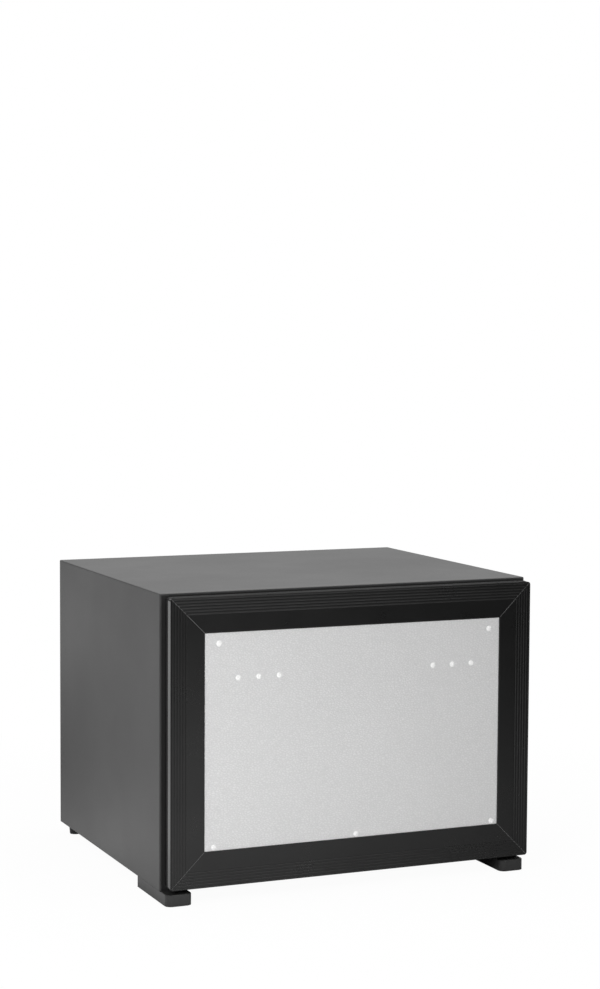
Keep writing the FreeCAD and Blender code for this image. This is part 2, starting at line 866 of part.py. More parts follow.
def mitred_side(points, band, length, depth):
    """Straight length of a section with both ends cut at 45 degrees, lying along X from the origin."""
    corners = [Vector(0, depth_back, inward) for inward, depth_back in points]
    face = Part.Face(Part.makePolygon(corners + corners[:1]))
    bar = face.extrude(Vector(length, 0, 0))
    trapezium = [Vector(0, -depth, 0), Vector(length, -depth, 0), Vector(length - band, -depth, band),
                 Vector(band, -depth, band)]
    wedge = Part.Face(Part.makePolygon(trapezium + trapezium[:1])).extrude(Vector(0, 3 * depth, 0))
    return bar.common(wedge)


def mitre_bevels(band, length, bevel):
    """Prisms that break the two mitred ends of a side along its face."""
    prisms = []
    for x, sign in ((0, 1), (length, -1)):
        along = Vector(sign, 0, 1)
        into = Vector(sign, 0, -1).normalize()
        start = Vector(x, 0, 0) - along * overrun
        low, high = -overrun, bevel + overrun
        corners = [start + into * u + Vector(0, v, 0) for u, v in ((low, low), (high, low), (low, high))]
        face = Part.Face(Part.makePolygon(corners + corners[:1]))
        prisms.append(face.extrude(along * (band + 2 * overrun)))
    return prisms


def placed_sides(points, band, inset, y, depth, bevel):
    """The four mitred sides of a ring whose outer edge is set in from the drawer front's edge."""
    width = front_width - 2 * inset
    height = front_height - 2 * inset
    turns = {"bottom": (width, 0, -1, -1), "right": (height, -90, 1, -1), "top": (width, 180, 1, 1),
             "left": (height, 90, -1, 1)}
    sides = {}
    for name, (length, angle, side_x, side_z) in turns.items():
        bar = mitred_side(points, band, length, depth)
        if bevel:
            bar = cut(bar, mitre_bevels(band, length, bevel))
        bar.rotate(Vector(0, 0, 0), Vector(0, 1, 0), angle)
        x = side_x * width / 2
        z = z_front + front_height / 2 + side_z * height / 2
        bar.translate(Vector(x, y, z))
        sides[name] = bar
    return sides


def frame_sides():
    """Four ribbed frame mouldings with mitred corners."""
    sides = placed_sides(frame_profile(), frame_band, 0, y_face, front_thickness, mitre_bevel)
    outline = front_outline(y_face - overrun, y_front_back + overrun)
    return {name: cut(side.common(outline), flange_screw_holes()) for name, side in sides.items()}


def corner_keys():
    """L-shaped keys inside the frame that pull its corners together."""
    inset = frame_wall + key_play
    reach = frame_wall + key_chamber_width - key_play
    y0 = y_face + rib_depth + frame_wall + key_play
    y1 = y_front_back - dart_length - key_play
    keys = []
    for sign_x in (-1, 1):
        for sign_z in (-1, 1):
            def spot(inward_x, inward_z):
                x = sign_x * (front_half - inward_x)
                z = z_front + inward_z if sign_z < 0 else z_front_top - inward_z
                return x, z

            arms = []
            for end_x, end_z in ((inset + key_length, reach), (reach, inset + key_length)):
                xa, za = spot(inset, inset)
                xb, zb = spot(end_x, end_z)
                arms.append(box(min(xa, xb), max(xa, xb), y0, y1, min(za, zb), max(za, zb)))
            keys.append(fuse(arms))
    return group(keys)


def rivet_spots():
    """Where the panel is riveted: the four corners and the middle of the lower edge."""
    top = z_panel_top - top_rivet_drop
    low = z_panel + bottom_rivet_rise
    places = [(-panel_half + top_rivet_side, top), (panel_half - top_rivet_side, top),
              (-panel_half + bottom_rivet_side, low), (0, low), (panel_half - bottom_rivet_side, low)]
    return [(x + fixings_right, z) for x, z in places]


def plug_spots():
    """Two rows of three closed holes for a furniture front's fixings."""
    z = z_panel_top - plug_row_drop
    places = [panel_half - plug_row_inset - i * plug_spacing for i in (2, 1, 0)]
    return [(sign * place + fixings_right, z) for sign in (-1, 1) for place in places]


def fastener_holes(grow):
    holes = [rod(x, y_panel - overrun, z, rivet_shank_radius + grow, overrun + rivet_length + grow, (0, 1, 0))
             for x, z in rivet_spots()]
    holes += [rod(x, y_panel - overrun, z, plug_body_radius + grow, overrun + plug_body_length + grow,
                  (0, 1, 0)) for x, z in plug_spots()]
    return holes


def front_panel():
    """Embossed aluminium sheet held in the frame's slot."""
    half = panel_half + panel_tuck - slot_play
    tuck = panel_tuck - slot_play
    sheet_metal = box(-half, half, y_panel, y_panel_back, z_panel - tuck, z_panel_top + tuck)
    return cut(sheet_metal, fastener_holes(joint_gap))


def domed_head(x, z, radius, height):
    """Shallow dome on the panel's face."""
    sphere_radius = (radius * radius + height * height) / (2 * height)
    ball = Part.makeSphere(sphere_radius, Vector(x, y_panel + sphere_radius - height, z))
    return ball.common(rod(x, y_panel - height - overrun, z, 2 * radius, height + overrun, (0, 1, 0)))


def panel_rivets():
    rivets = []
    for x, z in rivet_spots():
        shank = rod(x, y_panel, z, rivet_shank_radius, rivet_length, (0, 1, 0))
        rivets.append(fuse([domed_head(x, z, rivet_head_radius, rivet_head_height), shank]))
    return group(rivets)


def hole_plugs():
    plugs = []
    for x, z in plug_spots():
        body = rod(x, y_panel, z, plug_body_radius, plug_body_length, (0, 1, 0))
        head = domed_head(x, z, plug_head_radius, plug_head_height)
        dimple = rod(x, y_panel - plug_head_height - overrun, z, plug_dimple_radius,
                     overrun + plug_head_height / 2, (0, 1, 0))
        plugs.append(cut(fuse([head, body]), [dimple]))
    return group(plugs)


def plug_block(shrink, y0, y1):
    half = plug_half - shrink
    return rounded_block(-half, half, y0, y1, z_floor + plug_margin_z + shrink,
                         z_ceiling - plug_margin_z - shrink, plug_corner_radius - shrink)


def front_liner():
    """Moulded inner skin of the drawer front, with a raised middle that fills the cavity's mouth."""
    seat = liner_seat + frame_wall + joint_gap
    flat = box(-front_half + seat, front_half - seat, y_front_back - front_liner_wall + joint_gap,
               y_front_back, z_front + seat, z_front_top - seat)
    raised = plug_block(0, y_front_back - front_liner_wall + joint_gap, y_plug)
    hollow = plug_block(front_liner_wall, y_face, y_plug - front_liner_wall)
    return cut(fuse([flat, raised]), [hollow] + flange_screw_holes())


def front_foam():
    """Insulation between the panel and the inner skin."""
    slab = box(-panel_half, panel_half, y_panel_back + joint_gap, y_front_back - front_liner_wall,
               z_panel, z_panel_top)
    filling = plug_block(front_liner_wall, y_front_back - front_liner_wall, y_plug - front_liner_wall)
    return cut(fuse([slab, filling]), fastener_holes(joint_gap) + flange_screw_holes())


def gasket_profile():
    """Section of the door seal: base with a barbed foot, narrow waist, and the bulb for the magnet."""
    reach = front_gap - gasket_clearance
    bulb = gasket_base + gasket_waist
    w = gasket_width
    c = gasket_chamfer
    i = gasket_waist_inset
    d0 = dart_from_edge - gasket_inset
    d1 = d0 + dart_width
    return [(0, 0), (0, gasket_base - c / 2), (c / 2, gasket_base), (i, gasket_base), (i, bulb), (c, bulb),
            (0, bulb + c), (0, reach - c), (c, reach), (w - c, reach), (w, reach - c), (w, bulb + c),
            (w - c, bulb), (w - i, bulb), (w - i, gasket_base), (w, gasket_base), (w, 0), (d1, 0),
            (d1, -dart_length), (d0, -dart_length), (d0, 0)]


def front_gasket():
    sides = placed_sides(gasket_profile(), gasket_width, gasket_inset, y_front_back, front_gap, 0)
    ring = fuse([sides[name] for name in ("bottom", "right", "top", "left")])
    outline = front_outline(y_face, y_cabinet)
    return cut(ring.common(outline), [magnet.Solids[0] for magnet in magnet_strips(joint_gap)])


def magnet_strips(grow):
    """Magnet strips in the bulb, or the chambers for them when grown."""
    y1 = y_cabinet - gasket_clearance - gasket_skin + grow
    y0 = y1 - magnet_thickness - 2 * grow
    edge = gasket_inset + (gasket_width - magnet_width) / 2 - grow
    wide = magnet_width + 2 * grow
    end = gasket_inset + gasket_width + gasket_skin - grow
    lying = [(z_front + edge, z_front + edge + wide), (z_front_top - edge - wide, z_front_top - edge)]
    strips = [box(-front_half + end, front_half - end, y0, y1, z0, z1) for z0, z1 in lying]
    upright = [(-front_half + edge, -front_half + edge + wide), (front_half - edge - wide, front_half - edge)]
    strips += [box(x0, x1, y0, y1, z_front + end, z_front_top - end) for x0, x1 in upright]
    return strips


def gasket_magnets():
    return group(magnet_strips(0))


# Bin and divider

def bin_block(shrink, z0, z1):
    return rounded_column(-bin_half + shrink, bin_half - shrink, y_bin + shrink, y_bin_back - shrink, z0, z1,
                          bin_corner_radius - shrink)


def drawer_bin():
    """Open moulded bin that hangs by its rim on the two arms."""
    shell = bin_block(0, z_bin, z_bin_top)
    hollow = bin_block(bin_wall, z_bin + bin_wall, z_bin_top + overrun)
    over = bin_half + bin_rim_overhang
    rims = [box(x0, x1, y_bin + bin_corner_radius, y_bin_back - bin_corner_radius, z_arm_top, z_bin_top)
            for x0, x1 in ((-over, -bin_half), (bin_half, over))]
    pitch = 2 * bin_half / (bin_rib_count + 1)
    middles = [-bin_half + (i + 1) * pitch for i in range(bin_rib_count)]
    ribs = [box(x - bin_rib_width / 2, x + bin_rib_width / 2, y_bin + bin_corner_radius,
                y_bin_back - bin_corner_radius, z_bin + bin_wall, z_bin + bin_wall + bin_rib_height)
            for x in middles]
    return fuse([cut(shell, [hollow])] + rims + ribs)


def bin_divider():
    """Cross divider that hangs on the bin's rim and slides along it."""
    half = bin_half - bin_wall - divider_play
    y1 = y_divider + divider_thickness
    bottom = z_bin + bin_wall + bin_rib_height + divider_play
    top = z_bin_top + joint_gap
    plate = box(-half, half, y_divider, y1, bottom, top - divider_drop / 2)
    hooks = [box(-bin_half - bin_rim_overhang / 2, bin_half + bin_rim_overhang / 2, y_divider, y1, top,
                 top + divider_hook)]
    ears = [box(x0, x1, y_divider, y1, bottom, top + divider_hook)
            for x0, x1 in ((-half, divider_drop - half), (half - divider_drop, half))]
    whole = fuse([plate] + ears + hooks)
    grip_half = half - divider_drop
    grip = box(-grip_half, grip_half, y_divider - overrun, y1 + overrun, top - divider_drop / 2, top)
    window = rounded_block(-half + divider_window_margin, half - divider_window_margin,
                           y_divider - overrun, y1 + overrun, bottom + divider_window_rise,
                           bottom + divider_window_rise + divider_window_height, bin_corner_radius)
    return cut(whole, [window, grip])


# Cooling unit

def fins(width, height, y0, y1, thickness, pitch):
    count = int(width / pitch)
    first = -(count - 1) * pitch / 2
    return [box(first + i * pitch - thickness / 2, first + i * pitch + thickness / 2, y0, y1,
                z_cooler - height / 2, z_cooler + height / 2) for i in range(count)]


def clamp_spots():
    half = clamp_spacing / 2
    return [(sx * half, z_cooler + sz * half) for sx in (-1, 1) for sz in (-1, 1)]


def clamp_length():
    return y_hot_face - y_cold_face - joint_gap


def clamp_holes():
    return [screw_hole(x, y_cold_face, z, (0, 1, 0), clamp_radius, clamp_length()) for x, z in clamp_spots()]


def clamp_screws():
    """Long screws that squeeze the module between the two heat sinks."""
    return group([screw(x, y_cold_face, z, (0, 1, 0), clamp_radius, clamp_length(), clamp_head_radius,
                        clamp_head_height) for x, z in clamp_spots()])


def cold_sink():
    base = box(-cold_sink_width / 2, cold_sink_width / 2, y_cold_face, y_cold_base,
               z_cooler - cold_sink_height / 2, z_cooler + cold_sink_height / 2)
    blades = fins(cold_sink_width, cold_sink_height, y_cold_tips, y_cold_face + joint_gap,
                  cold_fin_thickness, cold_fin_pitch)
    pockets = [rod(x, y_cold_tips - overrun, z, clamp_head_radius + clamp_pocket_play,
                   overrun + cold_fin_length, (0, 1, 0)) for x, z in clamp_spots()]
    return cut(fuse([base] + blades), pockets + clamp_holes())


def cold_block():
    half = block_side / 2
    return box(-half, half, y_cold_base + joint_gap, y_hot_base - module_thickness - 2 * joint_gap,
               z_cooler - half, z_cooler + half)


def block_collar():
    """Insulating collar round the cold block and the module."""
    outer = collar_side / 2
    inner = block_side / 2 + joint_gap
    collar = box(-outer, outer, y_cold_base + joint_gap, y_hot_base - joint_gap, z_cooler - outer,
                 z_cooler + outer)
    hollow = box(-inner, inner, y_cold_base - overrun, y_hot_base + overrun, z_cooler - inner,
                 z_cooler + inner)
    return cut(collar, [hollow] + clamp_holes())


def peltier_module():
    """Thermoelectric module: two ceramic plates with rows of small legs between them."""
    half = module_side / 2
    y1 = y_hot_base - joint_gap
    y0 = y1 - module_thickness
    plate = module_thickness / 4
    plates = [box(-half, half, y0, y0 + plate, z_cooler - half, z_cooler + half),
              box(-half, half, y1 - plate, y1, z_cooler - half, z_cooler + half)]
    rows = 5
    pitch = module_side / rows
    leg = pitch / 2
    legs = []
    for i in range(rows):
        z = z_cooler - half + (i + 0.5) * pitch
        legs.append(box(-half + leg, half - leg, y0, y1, z - leg / 2, z + leg / 2))
    return fuse(plates + legs)


def hot_sink():
    base = box(-hot_sink_width / 2, hot_sink_width / 2, y_hot_base, y_hot_face,
               z_cooler - hot_sink_height / 2, z_cooler + hot_sink_height / 2)
    blades = fins(hot_sink_width, hot_sink_height, y_hot_face - joint_gap, y_hot_tips, hot_fin_thickness,
                  hot_fin_pitch)
    return cut(fuse([base] + blades), clamp_holes())


# Fans

def fan_hole_spots(side):
    inset = side / 2 - side * fan_hole_inset_share
    return [(sx * inset, z_cooler + sz * inset) for sx in (-1, 1) for sz in (-1, 1)]


def fan_frame(side, depth, y0):
    """Square housing with a round duct, four spokes, a motor plate and the post that the rotor turns on."""
    half = side / 2
    hub = side * fan_hub_share
    body = rounded_block(-half, half, y0, y0 + depth, z_cooler - half, z_cooler + half, fan_corner_radius)
    duct = rod(0, y0 - overrun, z_cooler, half - fan_rim / 2, depth + 2 * overrun, (0, 1, 0))
    body = cut(body, [duct])
    plate_y = y0 + depth - fan_plate
    plate = rod(0, plate_y, z_cooler, hub, fan_plate, (0, 1, 0))
    spokes = []
    for i in range(4):
        spoke = box(0, half - fan_rim / 4, plate_y, y0 + depth, z_cooler - fan_spoke_width / 2,
                    z_cooler + fan_spoke_width / 2)
        spoke.rotate(Vector(0, 0, z_cooler), Vector(0, 1, 0), 45 + 90 * i)
        spokes.append(spoke)
    post = rod(0, y0 + 2 * fan_end_gap + fan_plate, z_cooler, fan_post_radius,
               depth - 2 * fan_end_gap - fan_plate, (0, 1, 0))
    holes = [rod(x, y0 - overrun, z, fan_hole_radius, depth + 2 * overrun, (0, 1, 0))
             for x, z in fan_hole_spots(side)]
    return cut(fuse([body, plate, post] + spokes), holes)


def fan_rotor(side, depth, y0):
    """Hub with angled blades, closed at the front and bored for the post."""
    hub = side * fan_hub_share
    tip = side / 2 - fan_rim / 2 - fan_tip_gap
    front = y0 + fan_end_gap
    back = y0 + depth - fan_plate - fan_end_gap
    core = rod(0, front, z_cooler, hub, back - front, (0, 1, 0))
    bore = rod(0, front + fan_plate, z_cooler, fan_post_radius + fan_bore_play, back - front, (0, 1, 0))
    rise = (back - front) / 2
    blades = []
    swing = rise / math.sin(math.radians(90 - fan_blade_angle))
    for i in range(fan_blade_count):
        blade = box(hub / 2, side, -swing, swing, -fan_blade_thickness / 2, fan_blade_thickness / 2)
        blade.rotate(Vector(0, 0, 0), Vector(1, 0, 0), fan_blade_angle)
        blade.rotate(Vector(0, 0, 0), Vector(0, 1, 0), 360 * i / fan_blade_count)
        blade.translate(Vector(0, (front + back) / 2, z_cooler))
        blades.append(blade)
    sweep = rod(0, front, z_cooler, tip, back - front, (0, 1, 0))
    blades = [blade.common(sweep) for blade in blades]
    return cut(fuse([core] + blades), [bore])


def cold_fan_place():
    return y_cold_tips - joint_gap - cold_fan_depth


def hot_fan_place():
    return y_hot_tips + joint_gap


# Cold air cover with its fittings

def round_grille(y0, y1, half):
    """Level slots inside a circle round the fan's axis."""
    slots = []
    count = int(half / slot_pitch)
    for i in range(-count, count + 1):
        z = z_cooler + i * slot_pitch
        reach = math.sqrt(max(half * half - (i * slot_pitch) ** 2, 0))
        slots.append(box(-reach, reach, y0, y1, z - slot_width / 2, z + slot_width / 2))
    return slots


def duct_cover():
    """Moulded cover over the cold sink, with intake slots before the fan and vents along its top."""
    half = duct_half
    z0 = z_duct
    z1 = z_duct_top
    y1 = y_liner_back - joint_gap
    outer = rounded_block(-half, half, y_duct, y1, z0, z1, duct_corner_radius)
    inner = rounded_block(-half + duct_wall, half - duct_wall, y_duct + duct_wall, y1 + overrun,
                          z0 + duct_wall, z1 - duct_wall, duct_corner_radius - duct_wall)
    shell = cut(outer, [inner])
    y_post = cold_fan_place() - joint_gap
    posts = [rod(x, y_duct + duct_wall / 2, z, 2 * fan_hole_radius, y_post - y_duct - duct_wall / 2,
                 (0, 1, 0)) for x, z in fan_hole_spots(cold_fan_side)]
    tools = round_grille(y_duct - overrun, y_duct + duct_wall + overrun, cold_slot_half)
    pitch = 2 * half / duct_vent_columns
    for i in range(duct_vent_columns):
        x = -half + (i + 0.5) * pitch
        z = z1 - duct_vent_drop
        tools.append(box(x - duct_vent_length / 2, x + duct_vent_length / 2, y_duct - overrun,
                         y_duct + duct_wall + overrun, z, z + slot_width))
    tools.append(rod(x_knob, y_duct - overrun, z_knob, spindle_radius + joint_gap, 2 * overrun, (0, 1, 0)))
    return cut(fuse([shell] + posts), tools)


def thermostat_knob():
    """Fluted dial with a raised mark and its spindle."""
    x, z = x_knob, z_knob
    y0 = y_duct - knob_gap - knob_height
    dial = rod(x, y0, z, knob_radius, knob_height, (0, 1, 0))
    flutes = []
    for i in range(knob_flute_count):
        angle = 2 * math.pi * i / knob_flute_count
        flutes.append(rod(x + knob_radius * math.cos(angle), y0 - overrun, z + knob_radius * math.sin(angle),
                          knob_flute_radius, knob_height + 2 * overrun, (0, 1, 0)))
    mark = box(x - knob_mark_width / 2, x + knob_mark_width / 2, y0 - knob_mark_height, y0, z,
               z + knob_radius - 2 * knob_flute_radius)
    spindle = rod(x, y0 + knob_height / 2, z, spindle_radius, knob_height / 2 + knob_gap + spindle_length,
                  (0, 1, 0))
    return fuse([cut(dial, flutes), mark, spindle])


def thermostat_body():
    """Control behind the cover that the spindle turns."""
    x, z = x_knob, z_knob
    y0 = y_duct + duct_wall + joint_gap
    half = pot_side / 2
    case = rounded_block(x - half, x + half, y0, y0 + pot_depth, z - half, z + half, duct_corner_radius)
    bore = rod(x, y0 - overrun, z, spindle_radius + spindle_play, overrun + pot_depth - duct_wall, (0, 1, 0))
    return cut(case, [bore])


def temperature_sensor():
    """Metal sensor capsule behind the intake side of the cover."""
    x, z = x_sensor, z_floor + sensor_rise
    y = y_duct + duct_wall + joint_gap + sensor_radius
    capsule = rod(x - sensor_length / 2, y, z, sensor_radius, sensor_length, (1, 0, 0))
    clip = box(x - sensor_radius, x + sensor_radius, y_duct + duct_wall + joint_gap, y + 2 * sensor_radius,
               z - 2 * sensor_radius, z + 2 * sensor_radius)
    hole = rod(x - sensor_length, y, z, sensor_radius + joint_gap, 2 * sensor_length, (1, 0, 0))
    return group([capsule, cut(clip, [hole])])


def lamp_box(shrink, z0, z1):
    y0 = y_cabinet + lamp_setback
    return rounded_column(-lamp_width / 2 + shrink, lamp_width / 2 - shrink, y0 + shrink,
                          y0 + lamp_depth - shrink, z0, z1, 2 * lamp_wall - shrink)


def lamp_lens():
    """Frosted cover of the ceiling lamp."""
    top = z_ceiling - joint_gap
    outer = lamp_box(0, top - lamp_height, top)
    return cut(outer, [lamp_box(lamp_wall, top - lamp_height + lamp_wall, top + overrun)])


def lamp_board():
    """Strip of light-emitting diodes behind the lens."""
    top = z_ceiling - 2 * joint_gap
    strip = lamp_box(lamp_wall + joint_gap, top - lamp_board_thickness, top)
    count = 5
    pitch = (lamp_width - 4 * lamp_wall) / count
    y = y_cabinet + lamp_setback + lamp_depth / 2
    diode = lamp_wall
    diodes = []
    for i in range(count):
        x = -lamp_width / 2 + 2 * lamp_wall + (i + 0.5) * pitch
        diodes.append(box(x - diode, x + diode, y - diode, y + diode, top - 2 * lamp_board_thickness,
                          top - lamp_board_thickness))
    return group([strip] + diodes)


def spout_height():
    return z_cooler - hot_sink_height / 2 - spout_clearance - spout_radius


def spout_hole():
    """Way through the back wall for the tray's spout."""
    return rod(0, y_liner_back - overrun, spout_height(), spout_radius + joint_gap,
               y_well_floor - y_liner_back + 2 * overrun, (0, 1, 0))


def drip_tray():
    """Trough that catches water from the cold sink and leads it back through a spout."""
    half = tray_width / 2
    z1 = spout_height() + tray_height / 2
    z0 = z1 - tray_height
    y1 = y_liner_back - joint_gap
    trough = box(-half, half, y1 - tray_depth, y1, z0, z1)
    hollow = box(-half + tray_wall, half - tray_wall, y1 - tray_depth + tray_wall, y1 - tray_wall,
                 z0 + tray_wall, z1 + overrun)
    length = y_well_floor - y1 + spout_reach
    spout = rod(0, y1 - tray_wall, spout_height(), spout_radius, length + tray_wall, (0, 1, 0))
    bore = rod(0, y1 - 2 * tray_wall, spout_height(), spout_bore, length + 3 * tray_wall, (0, 1, 0))
    return cut(fuse([cut(trough, [hollow]), spout]), [bore])


# Power parts

def supply_box(shrink):
    z0 = z_well + supply_rise
    return box(x_supply + shrink, x_supply + supply_width - shrink, y_well_floor + joint_gap + shrink,
               y_well_floor + joint_gap + supply_depth - shrink, z0 + shrink, z0 + supply_height - shrink)


def psu_case():
    """Vented steel case of the power supply."""
    z0 = z_well + supply_rise + supply_slot_pitch
    x0 = x_supply + supply_width / 4
    y1 = y_well_floor + supply_depth
    slots = [box(x0, x0 + supply_width / 2, y1 - overrun, y1 + overrun, z0 + i * supply_slot_pitch,
                 z0 + i * supply_slot_pitch + slot_width) for i in range(supply_slot_count)]
    return cut(supply_box(0), [supply_box(supply_wall)] + slots)


def board_part(share, height):
    """Component on the control board, placed by shares of the board: left, bottom, width and height."""
    left, bottom, wide, tall = share
    y0 = y_well_floor + joint_gap + board_standoff + board_thickness
    x0 = x_board + left * board_width
    z0 = z_board + bottom * board_height
    return box(x0, x0 + wide * board_width, y0, y0 + height, z0, z0 + tall * board_height)


def control_board():
    """Circuit board on four posts, with a relay, a controller chip, a connector and capacitors."""
    y0 = y_well_floor + joint_gap
    z0 = z_board
    board = box(x_board, x_board + board_width, y0 + board_standoff,
                y0 + board_standoff + board_thickness, z0, z0 + board_height)
    posts = []
    for x in (x_board + board_post_inset, x_board + board_width - board_post_inset):
        for z in (z0 + board_post_inset, z0 + board_height - board_post_inset):
            posts.append(rod(x, y0, z, board_post_radius, board_standoff, (0, 1, 0)))
    parts = [board_part(relay_share, relay_height), board_part(chip_share, chip_height),
             board_part(connector_share, connector_height)]
    cans = []
    for i in range(2):
        x = x_board + board_width / 4 + i * 3 * capacitor_radius
        z = z0 + board_height / 2 - capacitor_radius
        cans.append(rod(x, y0 + board_standoff + board_thickness, z, capacitor_radius, capacitor_height,
                        (0, 1, 0)))
    return group([fuse([board] + posts)] + parts + cans)


def inlet_body_box(shrink_x, shrink_z):
    half_x = inlet_flange_width / 2 - shrink_x
    half_z = inlet_flange_height / 2 - shrink_z
    z = z_well + inlet_rise
    return x_inlet - half_x, x_inlet + half_x, z - half_z, z + half_z


def mains_inlet():
    """Combined inlet socket and switch housing, set into the rear cover."""
    z = z_well + inlet_rise
    x0, x1, z0, z1 = inlet_body_box(0, 0)
    flange = rounded_block(x0, x1, y_cover, y_cover + inlet_flange_thickness, z0, z1, inlet_body_inset)
    bx0, bx1, bz0, bz1 = inlet_body_box(inlet_body_inset, inlet_body_inset)
    body = box(bx0, bx1, y_cover - inlet_body_depth, y_cover + joint_gap, bz0, bz1)
    y_out = y_cover + inlet_flange_thickness
    sx = x_inlet + inlet_socket_shift
    socket = box(sx - inlet_socket_width / 2, sx + inlet_socket_width / 2, y_out - inlet_socket_depth,
                 y_out + overrun, z - inlet_socket_height / 2, z + inlet_socket_height / 2)
    rx = x_inlet + rocker_shift
    room = rocker_radius + rocker_play
    pocket = box(rx - rocker_width / 2 - rocker_play, rx + rocker_width / 2 + rocker_play,
                 y_out - 2 * rocker_radius, y_out + overrun, z - room, z + room)
    pins = []
    for i in (-1, 0, 1):
        px = sx + i * inlet_pin_spacing
        pz = z + (inlet_pin_height / 2 if i == 0 else -inlet_pin_height / 2)
        pins.append(box(px - inlet_pin_width / 2, px + inlet_pin_width / 2,
                        y_out - inlet_socket_depth - joint_gap,
                        y_out - inlet_socket_depth + inlet_pin_length, pz - inlet_pin_height / 2,
                        pz + inlet_pin_height / 2))
    housing = cut(fuse([flange, body]), [socket, pocket, rocker_axle_rod(joint_gap)])
    return fuse([housing] + pins)


def rocker_axis():
    """Middle of the switch's pivot."""
    y_out = y_cover + inlet_flange_thickness
    return x_inlet + rocker_shift, y_out - rocker_radius, z_well + inlet_rise


def rocker_axle_rod(grow):
    x, y, z = rocker_axis()
    length = rocker_width + 2 * rocker_play + inlet_body_inset
    return rod(x - length / 2, y, z, rocker_axle + grow / 2, length, (1, 0, 0))


def power_rocker():
    """Switch rocker, shown tipped to one side, with stub axles."""
    x, y, z = rocker_axis()
    drum = rod(x - rocker_width / 2, y, z, rocker_radius, rocker_width, (1, 0, 0))
    flat = rocker_radius * (1 - rocker_proud_share)
    tools = []
    for sign in (-1, 1):
        wedge = box(x - rocker_width, x + rocker_width, y + flat, y + 2 * rocker_radius,
                    z - 2 * rocker_radius, z + 2 * rocker_radius)
        wedge.rotate(Vector(x, y, z), Vector(1, 0, 0), sign * rocker_tilt)
        tools.append(wedge)
    keep = fuse([cut(drum, tools)])
    below = box(x - rocker_width, x + rocker_width, y - 2 * rocker_radius, y - rocker_radius / 2,
                z - 2 * rocker_radius, z + 2 * rocker_radius)
    rocker = fuse([cut(keep, [below]), rocker_axle_rod(0)])
    rocker.rotate(Vector(x, y, z), Vector(1, 0, 0), rocker_tilt)
    return rocker


def cover_screw_spots():
    half = well_width / 2 + cover_screw_inset
    z0 = z_well - cover_screw_inset
    z1 = z_well + well_height + cover_screw_inset
    return [(sx * x, z) for sx in (-1, 1) for x, z in ((half, z0), (half, z1), (half, (z0 + z1) / 2))]


def cover_screw_holes():
    return [screw_hole(x, y_cover, z, (0, -1, 0), case_screw_radius, case_screw_length)
            for x, z in cover_screw_spots()]


def rear_cover():
    """Slotted plate over the machine recess."""
    half = well_width / 2 + cover_margin
    plate = rounded_block(-half, half, y_pan, y_cover, z_well - cover_margin,
                          z_well + well_height + cover_margin, cover_corner_radius)
    tools = round_grille(y_pan - overrun, y_cover + overrun, cover_slot_half)
    first = z_well + (well_height - (cover_slot_rows - 1) * cover_slot_pitch) / 2
    for row in range(cover_slot_rows):
        z = first + row * cover_slot_pitch
        x1 = -well_width / 2 + 2 * cover_margin + cover_slot_length
        tools.append(box(x1 - cover_slot_length, x1, y_pan - overrun, y_cover + overrun, z, z + slot_width))
        tools.append(box(-x1, -x1 + cover_slot_length, y_pan - overrun, y_cover + overrun, z,
                         z + slot_width))
    x0, x1, z0, z1 = inlet_body_box(inlet_body_inset - joint_gap, inlet_body_inset - joint_gap)
    tools.append(box(x0, x1, y_pan - overrun, y_cover + overrun, z0, z1))
    y_fan = hot_fan_place() + hot_fan_depth + joint_gap
    posts = [rod(x, y_fan, z, 2 * fan_hole_radius, y_pan - y_fan + cover_thickness / 2, (0, 1, 0))
             for x, z in fan_hole_spots(hot_fan_side)]
    return fuse([cut(plate, tools + cover_screw_holes())] + posts)


def case_screws():
    """Identical pan-head screws: six in the rear cover and six through the feet."""
    screws = [screw(x, y_cover, z, (0, -1, 0), case_screw_radius, case_screw_length, case_screw_head,
                    case_screw_head_height) for x, z in cover_screw_spots()]
    screws += [screw(x, y, z, (0, 0, 1), case_screw_radius, case_screw_length + feet_height / 2,
                     case_screw_head, case_screw_head_height) for x, y, z in foot_screw_spots()]
    return group(screws)


# All pieces by name

